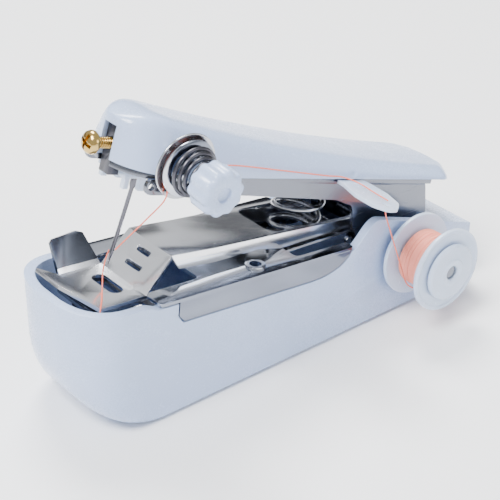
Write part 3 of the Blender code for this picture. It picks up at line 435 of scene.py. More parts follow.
# ------------------------------------------------------------------------------------------------
# Meshes
# ------------------------------------------------------------------------------------------------
def as_object(name: str, mesh: bpy.types.Mesh) -> bpy.types.Object:
    """Put a mesh into the scene.

    Args:
        name: The new object's name.
        mesh: Its mesh.

    Returns:
        The object, at the origin.
    """
    made = bpy.data.objects.new(name, mesh)
    bpy.context.scene.collection.objects.link(made)
    return made


def settle(piece: bpy.types.Object) -> bpy.types.Object:
    """Apply every modifier.

    Args:
        piece: A mesh object.

    Returns:
        The same piece, with plain geometry.
    """
    bpy.context.view_layer.update()
    ready = piece.evaluated_get(bpy.context.evaluated_depsgraph_get())
    mesh = bpy.data.meshes.new_from_object(ready)
    piece.modifiers.clear()
    piece.data = mesh
    return piece


def bake_form(name: str, work: bmesh.types.BMesh) -> bpy.types.Object:
    """Turn a finished working form into an object, with its faces outward.

    Args:
        name: The new object's name.
        work: The working form, which is freed.

    Returns:
        The object, at the origin.
    """
    bmesh.ops.recalc_face_normals(work, faces=work.faces)
    mesh = bpy.data.meshes.new(name)
    work.to_mesh(mesh)
    work.free()
    return as_object(name, mesh)


def add_box(place: Matrix, sides: Point) -> bpy.types.Object:
    """Add a box to cut with.

    Args:
        place: Where its middle goes.
        sides: Its whole length, width and height, in millimetres.

    Returns:
        The box, with its place in its mesh.
    """
    bpy.ops.mesh.primitive_cube_add(size=1.0)
    size = [side * MM for side in sides]
    return placed(bpy.context.object, place @ Matrix.Diagonal((*size, 1.0)))


def placed(piece: bpy.types.Object, place: Matrix) -> bpy.types.Object:
    """Move a piece's mesh into place, leaving its object at the origin."""
    piece.data.transform(place)
    return piece


def shade(piece: bpy.types.Object, degrees: float) -> bpy.types.Object:
    """Shade smooth, with a crease where faces meet at more than the angle.

    Args:
        piece: The mesh object.
        degrees: The angle.

    Returns:
        The same piece.
    """
    piece.data.shade_smooth()
    piece.data.set_sharp_from_angle(angle=math.radians(degrees))
    return piece


def round_edges(piece: bpy.types.Object, width: float, degrees: float = 35.0,
                segments: int = 3) -> bpy.types.Object:
    """Round the hard edges of a piece.

    Args:
        piece: A closed mesh.
        width: Width of the rounding, in metres.
        degrees: Edges sharper than this are rounded.
        segments: Steps across the rounding.

    Returns:
        The same piece, with plain geometry.
    """
    bevel = piece.modifiers.new("rounding", "BEVEL")
    bevel.width = width
    bevel.segments = segments
    bevel.limit_method = "ANGLE"
    bevel.angle_limit = math.radians(degrees)
    return shade(settle(piece), degrees + 5.0)


def from_frame(node: str, name: str, width: float = 0.15 * MM, degrees: float = 35.0,
               flatten: float = 0.6) -> bpy.types.Object:
    """Make a fine piece from a copy of a frame node: welded, with clean flats and rounded edges.

    Args:
        node: The frame node to copy.
        name: The new piece's name.
        width: Width of the edge rounding, in metres.
        degrees: Edges sharper than this are rounded.
        flatten: Faces that meet at less than this many degrees become one.

    Returns:
        The new piece.
    """
    work = bmesh.new()
    work.from_mesh(frame["nodes"][node].data)
    bmesh.ops.remove_doubles(work, verts=work.verts, dist=2e-6)
    bmesh.ops.dissolve_degenerate(work, edges=work.edges, dist=1e-6)
    bmesh.ops.dissolve_limit(work, angle_limit=math.radians(flatten), verts=work.verts, edges=work.edges)
    mesh = bpy.data.meshes.new(name)
    work.to_mesh(mesh)
    work.free()
    return round_edges(as_object(name, mesh), width, degrees)


def cut(target: bpy.types.Object, tool: bpy.types.Object) -> None:
    """Cut one closed mesh with another, and throw the tool away.

    Args:
        target: The mesh that stays.
        tool: The mesh that is taken out of it.
    """
    boolean = target.modifiers.new("cut", "BOOLEAN")
    boolean.operation = "DIFFERENCE"
    boolean.solver = "EXACT"
    boolean.object = tool
    settle(target)
    bpy.data.objects.remove(tool)


def turned(name: str, profile: Sequence[Corner], steps: int) -> bpy.types.Object:
    """Turn a closed profile round the Y axis.

    Args:
        name: The piece's name.
        profile: Radius and place along Y of each corner, in millimetres, in order round the section.
        steps: Sides of the finished ring.

    Returns:
        The turned piece, with its faces outward.
    """
    work = bmesh.new()
    rings = []
    for step in range(steps):
        angle = 2 * math.pi * step / steps
        rings.append([work.verts.new((r * MM * math.cos(angle), y * MM, r * MM * math.sin(angle)))
                      for r, y in profile])
    for index, ring in enumerate(rings):
        after = rings[(index + 1) % steps]
        for i, vert in enumerate(ring):
            j = (i + 1) % len(ring)
            work.faces.new((vert, ring[j], after[j], after[i]))
    bmesh.ops.remove_doubles(work, verts=work.verts, dist=TOUCHING)
    bmesh.ops.dissolve_degenerate(work, edges=work.edges, dist=TOUCHING)
    return bake_form(name, work)


def soften(profile: Sequence[Corner], radius: float, steps: int) -> list[Corner]:
    """Round every corner of a closed outline.

    Args:
        profile: Corners in order.
        radius: Corner radius, shortened where a side is too small for it.
        steps: Points along each rounding, less one.

    Returns:
        The rounded outline.
    """
    result: list[Corner] = []
    count = len(profile)
    for index, corner in enumerate(profile):
        here = Vector(corner)
        before = Vector(profile[index - 1]) - here
        after = Vector(profile[(index + 1) % count]) - here
        back = min(radius, before.length * 0.45, after.length * 0.45)
        start = here + before.normalized() * back
        end = here + after.normalized() * back
        for step in range(steps + 1):
            t = step / steps
            point = (1 - t) ** 2 * start + 2 * t * (1 - t) * here + t ** 2 * end
            result.append((point.x, point.y))
    return result


def sweep(name: str, path: Sequence[Vector], radius: float, sides: int) -> bpy.types.Object:
    """Run a round section along a path, with a UV map that measures along and around it.

    Args:
        name: The piece's name.
        path: Points of the centre line, in millimetres.
        radius: Section radius, in millimetres.
        sides: Sides of the section.

    Returns:
        A closed tube with round ends.
    """
    work = bmesh.new()
    layer = work.loops.layers.uv.new("along")
    points = [Vector(p) for p in path]
    tangents = [(points[min(i + 1, len(points) - 1)] - points[max(i - 1, 0)]).normalized()
                for i in range(len(points))]
    side = tangents[0].orthogonal().normalized()
    rings, travel, run = [], [], 0.0
    for index, (point, tangent) in enumerate(zip(points, tangents)):
        side = (side - tangent * side.dot(tangent)).normalized()
        other = tangent.cross(side)
        run += (point - points[index - 1]).length if index else 0.0
        travel.append(run)
        rings.append([work.verts.new((point + (side * math.cos(a) + other * math.sin(a)) * radius) * MM)
                      for a in (2 * math.pi * k / sides for k in range(sides))])
    for index in range(len(rings) - 1):
        for k in range(sides):
            j = (k + 1) % sides
            here, after = rings[index], rings[index + 1]
            face = work.faces.new((here[k], here[j], after[j], after[k]))
            corners = ((index, k), (index, k + 1), (index + 1, k + 1), (index + 1, k))
            for loop, (row, column) in zip(face.loops, corners):
                loop[layer].uv = (travel[row], column / sides)
    for end, sign in ((0, -1), (-1, 1)):
        ring = rings[end]
        tip = work.verts.new((points[end] + tangents[end] * sign * radius * 0.4) * MM)
        for k in range(sides):
            pair = (ring[k], ring[(k + 1) % sides])
            work.faces.new((*pair, tip) if sign > 0 else (pair[1], pair[0], tip))
    return shade(bake_form(name, work), 60.0)


def smooth_route(points: Sequence[Point], spacing: float) -> list[Vector]:
    """Read a smooth curve through the points at an even spacing.

    Args:
        points: Points of the route, in millimetres.
        spacing: Wanted distance between the points read, in millimetres.

    Returns:
        Points along the curve.
    """
    curve: list[Vector] = []
    for index in range(len(points) - 1):
        p0 = Vector(points[max(index - 1, 0)])
        p1, p2 = Vector(points[index]), Vector(points[index + 1])
        p3 = Vector(points[min(index + 2, len(points) - 1)])
        steps = max(2, round((p2 - p1).length / spacing))
        for step in range(steps):
            t = step / steps
            curve.append(0.5 * (2 * p1 + (p2 - p0) * t + (2 * p0 - 5 * p1 + 4 * p2 - p3) * t ** 2
                                + (3 * p1 - p0 - 3 * p2 + p3) * t ** 3))
    curve.append(Vector(points[-1]))
    return curve


def length_of(path: Sequence[Vector]) -> float:
    """Length of a path, in its own units."""
    return sum((b - a).length for a, b in zip(path, path[1:]))


def dress(piece: bpy.types.Object, finish: Finish, slot: str, *nodes: str) -> bpy.types.Object:
    """Give a piece its surface and material slot, and let it stand for its nodes.

    Args:
        piece: The finished piece.
        finish: Its surface.
        slot: The record's material slot; not used.
        nodes: The frame nodes that it stands for.

    Returns:
        The same piece.
    """
    piece.data.materials.clear()
    piece.data.materials.append(finish.material())
    for polygon in piece.data.polygons:
        polygon.material_index = 0
    if nodes:
        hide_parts(*nodes)
    LOG.info("%s: %d faces", piece.name, len(piece.data.polygons))
    return piece


def deliver(piece: bpy.types.Object, finish: Finish, body: str, slot: str, *nodes: str) -> bpy.types.Object:
    """Dress a finished piece, put it on its body, and let it stand for its nodes.

    Args:
        piece: The finished piece, at the origin.
        finish: Its surface.
        body: The body that it rides on.
        slot: The record's material slot, handed on to dress.
        nodes: The frame nodes that it stands for.

    Returns:
        The same piece.
    """
    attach(piece, body)
    return dress(piece, finish, slot, *nodes)


# ------------------------------------------------------------------------------------------------
# Coils, by Geometry Nodes
# ------------------------------------------------------------------------------------------------
class CoilMaker:
    """A node tree that lays a round strand in a coil, used for wound thread and screw threads."""

    SIZES = (("Turns", 12.0), ("Start Radius", 5.0 * MM), ("End Radius", 5.0 * MM), ("Height", 5.0 * MM),
             ("Strand Radius", 0.2 * MM), ("Wander", 0.0), ("Wander Scale", 300.0))
    STEPS_PER_TURN = 56
    STRAND_SIDES = 7

    def __init__(self) -> None:
        """Build the tree, with its named inputs."""
        self.tree = bpy.data.node_groups.new("coil_maker", "GeometryNodeTree")
        self.bench = Bench(self.tree)
        face = self.tree.interface
        for name, value in self.SIZES:
            socket = face.new_socket(name, in_out="INPUT", socket_type="NodeSocketFloat")
            socket.default_value = value
        face.new_socket("Seed", in_out="INPUT", socket_type="NodeSocketInt")
        face.new_socket("Strand Material", in_out="INPUT", socket_type="NodeSocketMaterial")
        face.new_socket("Geometry", in_out="OUTPUT", socket_type="NodeSocketGeometry")
        self._lay()

    def _lay(self) -> None:
        """Join the nodes: a spiral, its wandering, the strand round it, its UV map and material."""
        bench = self.bench
        sizes = bench.add("NodeGroupInput").outputs
        spiral = bench.add("GeometryNodeCurveSpiral", {}, {
            "Resolution": self.STEPS_PER_TURN, "Rotations": sizes["Turns"],
            "Start Radius": sizes["Start Radius"], "End Radius": sizes["End Radius"],
            "Height": sizes["Height"]})
        noise = bench.wire("ShaderNodeTexNoise", {"noise_dimensions": "4D"},
                           {"W": sizes["Seed"], "Scale": sizes["Wander Scale"], "Detail": 1.0}, "Color")
        centred = bench.wire("ShaderNodeVectorMath", {"operation": "SUBTRACT"},
                             {"Vector": noise, "Vector_001": (0.5, 0.5, 0.5)})
        drift = bench.wire("ShaderNodeVectorMath", {"operation": "SCALE"},
                           {"Vector": centred, "Scale": sizes["Wander"]})
        moved = bench.add("GeometryNodeSetPosition", {},
                          {"Geometry": spiral.outputs["Curve"], "Offset": drift})
        along = bench.add("GeometryNodeCaptureAttribute", {"domain": "POINT"})
        along.capture_items.new("FLOAT", "Run")
        bench.feed(along.inputs["Geometry"], moved.outputs["Geometry"])
        bench.feed(along.inputs["Run"], bench.add("GeometryNodeSplineParameter").outputs["Length"])
        ring = bench.add("GeometryNodeCurvePrimitiveCircle", {}, {
            "Resolution": self.STRAND_SIDES, "Radius": sizes["Strand Radius"]})
        strand = bench.add("GeometryNodeCurveToMesh", {}, {
            "Curve": along.outputs["Geometry"], "Profile Curve": ring.outputs["Curve"], "Fill Caps": True})
        smooth = bench.add("GeometryNodeSetShadeSmooth", {}, {"Geometry": strand.outputs["Mesh"]})
        run = Wire(bench, along.outputs["Run"]) / MM
        lie = bench.wire("ShaderNodeCombineXYZ", {}, {"X": run})
        mapped = bench.add("GeometryNodeStoreNamedAttribute", {"data_type": "FLOAT2", "domain": "CORNER"},
                           {"Geometry": smooth.outputs["Geometry"], "Name": "along", "Value": lie})
        real = bench.add("GeometryNodeRealizeInstances", {}, {"Geometry": mapped.outputs["Geometry"]})
        dressed = bench.add("GeometryNodeSetMaterial", {}, {
            "Geometry": real.outputs["Geometry"], "Material": sizes["Strand Material"]})
        out = bench.add("NodeGroupOutput")
        bench.feed(out.inputs["Geometry"], dressed.outputs["Geometry"])

    def make(self, name: str, finish: Finish, place: Matrix, seed: int = 0,
             **sizes: float) -> bpy.types.Object:
        """Run the tree once and keep the result as a plain mesh.

        Args:
            name: The piece's name.
            finish: The strand's surface.
            place: Where the coil's own Z axis goes.
            seed: Seed of its wandering.
            sizes: The tree's inputs, by name with underscores for spaces, in metres.

        Returns:
            The coil, at the origin.
        """
        piece = as_object(name, bpy.data.meshes.new(name))
        modifier = piece.modifiers.new("coil", "NODES")
        modifier.node_group = self.tree
        named = {item.name: item.identifier for item in self.tree.interface.items_tree
                 if item.in_out == "INPUT"}
        for key, value in sizes.items():
            modifier[named[key.replace("_", " ")]] = float(value)
        modifier[named["Seed"]] = seed
        modifier[named["Strand Material"]] = finish.material()
        settle(piece)
        piece.data.transform(place)
        return piece


# ------------------------------------------------------------------------------------------------
# Frames of the moving parts
# ------------------------------------------------------------------------------------------------
def hinge_point(name: str) -> Vector:
    """Point on a joint's axis at rest, in metres."""
    return Vector(next(joint["pos_m"] for joint in frame["joints"] if joint["name"] == name))


ARM_PITCH = math.radians(18.5)      # how far the arm stands open
TENSION_DROOP = math.radians(5.0)   # the tension unit points slightly down
PIVOT = hinge_point("arm_pivot")
ARM = Matrix.Translation(PIVOT) @ Matrix.Rotation(ARM_PITCH, 4, "Y")
TENSION = ARM @ Matrix.Translation((-72.9 * MM, 0.0, 20.4 * MM)) @ Matrix.Rotation(TENSION_DROOP, 4, "X")
SPOOL = Matrix.Translation((PIVOT.x, 0.0, PIVOT.z))
SCREW = Matrix.Translation(hinge_point("needle_screw_turn")) @ Matrix.Rotation(ARM_PITCH, 4, "Y")
ALONG_Y = Matrix.Rotation(math.radians(90.0), 4, "X")


# ------------------------------------------------------------------------------------------------
# The tub and what is fixed in it
# ------------------------------------------------------------------------------------------------
@dataclass
class Tub:
    """The white base with its deck, plates, brackets and pins.

    Attributes:
        rim_rounding: Rounding of the moulded edges, in metres.
        sheet_rounding: Rounding of the sheet's cut edges, in metres.
    """

    STEEL_NODES = ("needle_plate", "pivot_bracket", "spring_cup", "spring_bridge", "presser_pin",
                   "pivot_clip", "bobbin_washer", "looper_post")
    rim_rounding: float = 0.45 * MM
    sheet_rounding: float = 0.16 * MM

    def build(self) -> None:
        """Make and dress every fixed piece."""
        deliver(from_frame("base_shell", "tub_moulding", self.rim_rounding, 38.0, 0.2), WHITE, "base",
                "white_plastic", "base_shell")
        # the deck's side flanges take the plated sheet's painted dark reflection
        deliver(from_frame("frame_deck", "deck_pressing", self.sheet_rounding), PLATED, "base",
                "bright_sheet", "frame_deck")
        for node in self.STEEL_NODES:
            deliver(from_frame(node, node + "_finished", self.sheet_rounding), BRIGHT, "base", "steel", node)
        deliver(from_frame("pivot_pin", "pivot_pin_finished", self.sheet_rounding), CHANNEL, "base", "steel",
                "pivot_pin")


@dataclass
class Springs:
    """The main spring under the arm and the presser's own spring.

    Attributes:
        coil: Radius of the main spring's coil, in millimetres.
        wire: Radius of its wire, in millimetres.
        turns: Its turns.
        foot: Where its lowest coil lies, in millimetres.
        seat: Where its top bears under the arm, along the arm and above the pivot, in millimetres.
        steps_per_turn: Points round each turn.
    """

    coil: float = 5.5
    wire: float = 0.65
    turns: float = 6.0
    foot: Corner = (10.0, 16.75)
    seat: Corner = (-25.0, 14.05)
    steps_per_turn: int = 40

    def ends(self) -> tuple[Vector, Vector]:
        """Middle of the spring's lowest coil and of its top, in metres."""
        low, high = (Vector((along, 0.0, up)) * MM for along, up in (self.foot, self.seat))
        return low, ARM @ high

    def main_spring(self) -> bpy.types.Object:
        """Coil the main spring, closed at both ends and leaning with the arm.

        Returns:
            The spring, at rest.
        """
        foot, head = (end / MM for end in self.ends())
        points = []
        steps = int(self.turns * self.steps_per_turn)
        for step in range(steps + 1):
            t = step / steps
            eased = t * t * (3 - 2 * t)
            centre = foot.lerp(head, 0.35 * eased + 0.65 * t)
            tilt = ARM_PITCH * eased
            angle = 2 * math.pi * self.turns * t
            across = self.coil * math.cos(angle)
            points.append(centre + Vector((across * math.cos(tilt), self.coil * math.sin(angle),
                                           -across * math.sin(tilt))))
        return sweep("main_spring_wire", points, self.wire, 16)

    def build(self) -> None:
        """Make and dress both springs."""
        spring = dress(self.main_spring(), BRIGHT, "steel", "main_spring")
        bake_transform(spring)
        deliver(from_frame("presser_spring", "presser_spring_wire", 0.02 * MM), BRIGHT, "base", "steel",
                "presser_spring")


# ------------------------------------------------------------------------------------------------
# The presser
# ------------------------------------------------------------------------------------------------
@dataclass
class Presser:
    """The bent plate that holds the cloth down, with its louvres, slot and guide wing.

    Attributes:
        rounding: Rounding of its cut edges, in metres.
    """

    rounding: float = 0.2 * MM

    def build(self) -> None:
        """Make and dress the presser."""
        # the presser's guide wing takes the pressed sheet's painted dark reflection
        deliver(from_frame("presser_plate", "presser_pressing", self.rounding, 30.0), PRESSED, "presser",
                "bright_sheet", "presser_plate")


# ------------------------------------------------------------------------------------------------
# The arm
# ------------------------------------------------------------------------------------------------
@dataclass
class Arm:
    """The white lever cover on its steel channel, with the needle's clamp in its nose.

    Attributes:
        nose: Front end along the arm, in millimetres from the pivot.
        tail: Rear end, in millimetres.
        half_width: Half width at the seam, in millimetres.
        crest_share: Half width of the crest as a share of that.
        seam: Height of the cover's lower edge above the pivot, in millimetres.
        wall: Wall thickness, in millimetres.
        nose_round: Length of the nose's rounding in plan, in millimetres.
        nose_power: How square that rounding is; two is an ellipse.
        tail_round: Length of the tail's rounding in plan, in millimetres.
        peak: Where the crest is highest along the arm, in millimetres.
        droop: Where the crest starts to fall to the nose, in millimetres.
        step_back: Where an inner form starts to keep clear of the nose's wall, in millimetres.
        notch: Length, width and height of the slot in the nose, in millimetres.
        bore: Radius of the hole for the tension stud, in millimetres.
        dimple: Radius of the ball that presses the dimple by the guide, in millimetres.
        dimple_place: Middle of that ball, in millimetres.
        fine_end: Length of each end that has closer sections: nose and tail, in millimetres.
        points_round: Faces round a section.
    """

    nose: float = -83.4
    tail: float = 13.4
    half_width: float = 12.0
    crest_share: float = 0.6
    seam: float = 16.3
    wall: float = 1.5
    nose_round: float = 13.0
    nose_power: float = 2.2
    tail_round: float = 4.5
    peak: float = -72.0
    droop: float = -74.0
    step_back: float = -60.0
    notch: Point = (7.2, 4.0, 9.2)
    bore: float = 1.7
    dimple: float = 2.4
    dimple_place: Point = (-22.0, -13.5, 18.4)
    fine_end: Corner = (15.0, 5.0)
    points_round: int = 34

    def crown(self, a: float) -> float:
        """Height of the crest above the pivot at a place along the arm.

        Args:
            a: Place along the arm, in millimetres.

        Returns:
            The height, in millimetres.
        """
        t = (a - self.tail) / (self.peak - self.tail)
        nose = max(0.0, (self.droop - a) / (self.droop - self.nose))
        return 18.5 + 1.6 * t + 6.3 * t ** 2 - 3.2 * nose ** 2

    def half(self, a: float) -> float:
        """Half width at the seam at a place along the arm.

        Args:
            a: Place along the arm, in millimetres.

        Returns:
            The half width, in millimetres.
        """
        reach = min(1.0, max(0.0, (self.nose + self.nose_round - a) / self.nose_round))
        back = min(1.0, max(0.0, (a - self.tail + self.tail_round) / self.tail_round))
        nose = (1 - reach ** self.nose_power) ** (1 / self.nose_power)
        return self.half_width * nose * (1 - 0.3 * back ** 2)

    def section(self, a: float, inset: float, floor: float) -> list[Vector]:
        """Cross-section of the cover at a place along the arm.

        Args:
            a: Place along the arm, in millimetres.
            inset: How far inside the outer face.
            floor: Height of its open lower edge.

        Returns:
            Points from one lower edge over the crest to the other.
        """
        shifted = a - inset if a < self.step_back else a
        half = self.half(shifted) - inset * 0.9
        high = self.crown(a) - inset
        rise = high - floor
        crest = half * self.crest_share
        lean = half - crest
        corners = [(-half, floor), (-half + 0.1 * lean, floor + 0.3 * rise),
                   (-crest - 0.25 * lean, floor + 0.86 * rise), (-crest * 0.8, high - 0.15), (0.0, high)]
        corners += [(-y, z) for y, z in reversed(corners[:-1])]
        return smooth_route([(a, y, z) for y, z in corners], 0.9)

    def stations(self, inset: float) -> list[float]:
        """Places of the sections along the arm, closer together at the nose and the tail.

        Args:
            inset: How far inside the outer face, in millimetres.

        Returns:
            The places, from nose to tail, in millimetres.
        """
        start, end = self.nose + inset + 0.12, self.tail - inset
        front, rear = self.nose + self.fine_end[0], self.tail - self.fine_end[1]
        places = [start + (front - start) * (i / 20) ** 2 for i in range(21)]
        places += [front + (rear - front) * i / 40 for i in range(1, 41)]
        return places + [rear + (end - rear) * (1 - (1 - i / 10) ** 2) for i in range(1, 11)]

    def even_points(self, route: Sequence[Vector]) -> list[Vector]:
        """Read a route at even steps.

        Args:
            route: Points of the route.

        Returns:
            One point more than the faces round a section.
        """
        total = length_of(route)
        points, walked, index = [], 0.0, 0
        for k in range(self.points_round + 1):
            goal = total * k / self.points_round
            while index < len(route) - 2 and walked + (route[index + 1] - route[index]).length < goal:
                walked += (route[index + 1] - route[index]).length
                index += 1
            span = (route[index + 1] - route[index]).length
            share = min(1.0, (goal - walked) / span) if span else 0.0
            points.append(route[index].lerp(route[index + 1], share))
        return points

    def body(self, name: str, inset: float, floor: float) -> bpy.types.Object:
        """Loft the cover's solid form.

        Args:
            name: The form's name.
            inset: How far inside the outer face, in millimetres.
            floor: Height of its flat underside, in millimetres.

        Returns:
            A closed solid.
        """
        work = bmesh.new()
        rings = [[work.verts.new(point * MM) for point in self.even_points(self.section(a, inset, floor))]
                 for a in self.stations(inset)]
        for ring, after in zip(rings, rings[1:]):
            for i, vert in enumerate(ring):
                j = (i + 1) % len(ring)
                work.faces.new((vert, ring[j], after[j], after[i]))
        work.faces.new(rings[0])
        work.faces.new(list(reversed(rings[-1])))
        return bake_form(name, work)

    def cover(self) -> bpy.types.Object:
        """Make the cover: its outer form, hollowed, slotted at the nose and drilled for the stud.

        Returns:
            The cover, at rest.
        """
        shell = self.body("arm_cover_moulding", 0.0, self.seam)
        cut(shell, self.body("cover_hollow", self.wall, self.seam - 3.0))
        cut(shell, add_box(Matrix.Translation(((self.nose + 0.9) * MM, 0.0, 18.8 * MM)), self.notch))
        bore = turned("stud_bore", [(0.0, -15.0), (self.bore, -15.0), (self.bore, -8.0), (0.0, -8.0)], 40)
        cut(shell, placed(bore, ARM.inverted() @ TENSION))
        bpy.ops.mesh.primitive_uv_sphere_add(segments=48, ring_count=24, radius=self.dimple * MM)
        dimple = placed(bpy.context.object, Matrix.Translation(Vector(self.dimple_place) * MM))
        cut(shell, dimple)
        round_edges(shell, 0.3 * MM, 42.0)
        return placed(shell, ARM)

    def build(self) -> None:
        """Make and dress the cover, the channel and the clamp."""
        deliver(self.cover(), WHITE, "arm", "white_plastic", "arm_cover")
        deliver(from_frame("arm_channel", "arm_channel_pressing", 0.14 * MM), CHANNEL, "arm", "bright_sheet",
                "arm_channel")
        for node in ("cover_screw_front", "cover_screw_rear", "drive_pin", "tension_stud"):
            deliver(from_frame(node, node + "_finished", 0.12 * MM), BRIGHT, "arm", "steel", node)
        deliver(from_frame("needle", "needle_finished", 0.01 * MM, 60.0, 0.1), NEEDLE, "arm", "steel",
                "needle")
        deliver(from_frame("needle_holder", "needle_block", 0.2 * MM), BLACKENED, "arm", "dark_steel",
                "needle_holder")
        deliver(from_frame("needle_guard", "needle_guard_moulding", 0.2 * MM), MILKY, "arm",
                "translucent_plastic", "needle_guard")
        deliver(from_frame("thread_guide", "thread_guide_moulding", 0.25 * MM), MILKY, "arm",
                "translucent_plastic", "thread_guide")


@dataclass
class NeedleScrew:
    """The brass screw that clamps the needle: domed head, cross recess and a threaded shank.

    Attributes:
        head: Radius of the head, in millimetres.
        shank: Radius of the plain shank, in millimetres.
        recess: Length, depth and width of each arm of the cross, in millimetres.
        turns: Turns of the thread.
        threaded: Length of the thread, in millimetres.
        ridge: Radius of the thread's ridge, in millimetres.
    """

    head: float = 2.45
    shank: float = 1.2
    recess: Point = (3.6, 1.7, 0.75)
    turns: float = 8.0
    threaded: float = 4.6
    ridge: float = 0.15

    def build(self, coils: CoilMaker) -> None:
        """Make and dress the screw.

        Args:
            coils: Makes the thread's ridge.
        """
        h, s = self.head, self.shank
        profile = [(0.0, -4.2), (1.0, -4.15), (1.8, -3.85), (2.25, -3.4), (h, -2.85), (h, -2.3),
                   (2.15, -1.9), (s + 0.5, -1.8), (s, -1.5), (s * 0.86, -1.2), (s * 0.86, 3.9),
                   (s * 0.6, 4.4), (0.0, 4.4)]
        screw = turned("needle_screw_body", profile, 64)
        for turn in (20.0, 110.0):
            arm = Matrix.Rotation(math.radians(turn), 4, "Y") @ Matrix.Translation((0.0, -4.0 * MM, 0.0))
            cut(screw, add_box(arm, self.recess))
        round_edges(screw, 0.08 * MM, 30.0, 2)
        placed(screw, SCREW @ Matrix.Rotation(math.radians(-90.0), 4, "Z"))
        deliver(screw, BRASS, "screw", "brass", "needle_screw")
        start = SCREW @ Matrix.Rotation(math.radians(90.0), 4, "Y") @ Matrix.Translation((0, 0, -1.2 * MM))
        root = s * 0.88 * MM
        thread = coils.make("needle_screw_thread", BRASS, start, Turns=self.turns, Start_Radius=root,
                            End_Radius=root, Height=self.threaded * MM, Strand_Radius=self.ridge * MM)
        deliver(thread, BRASS, "screw", "brass")


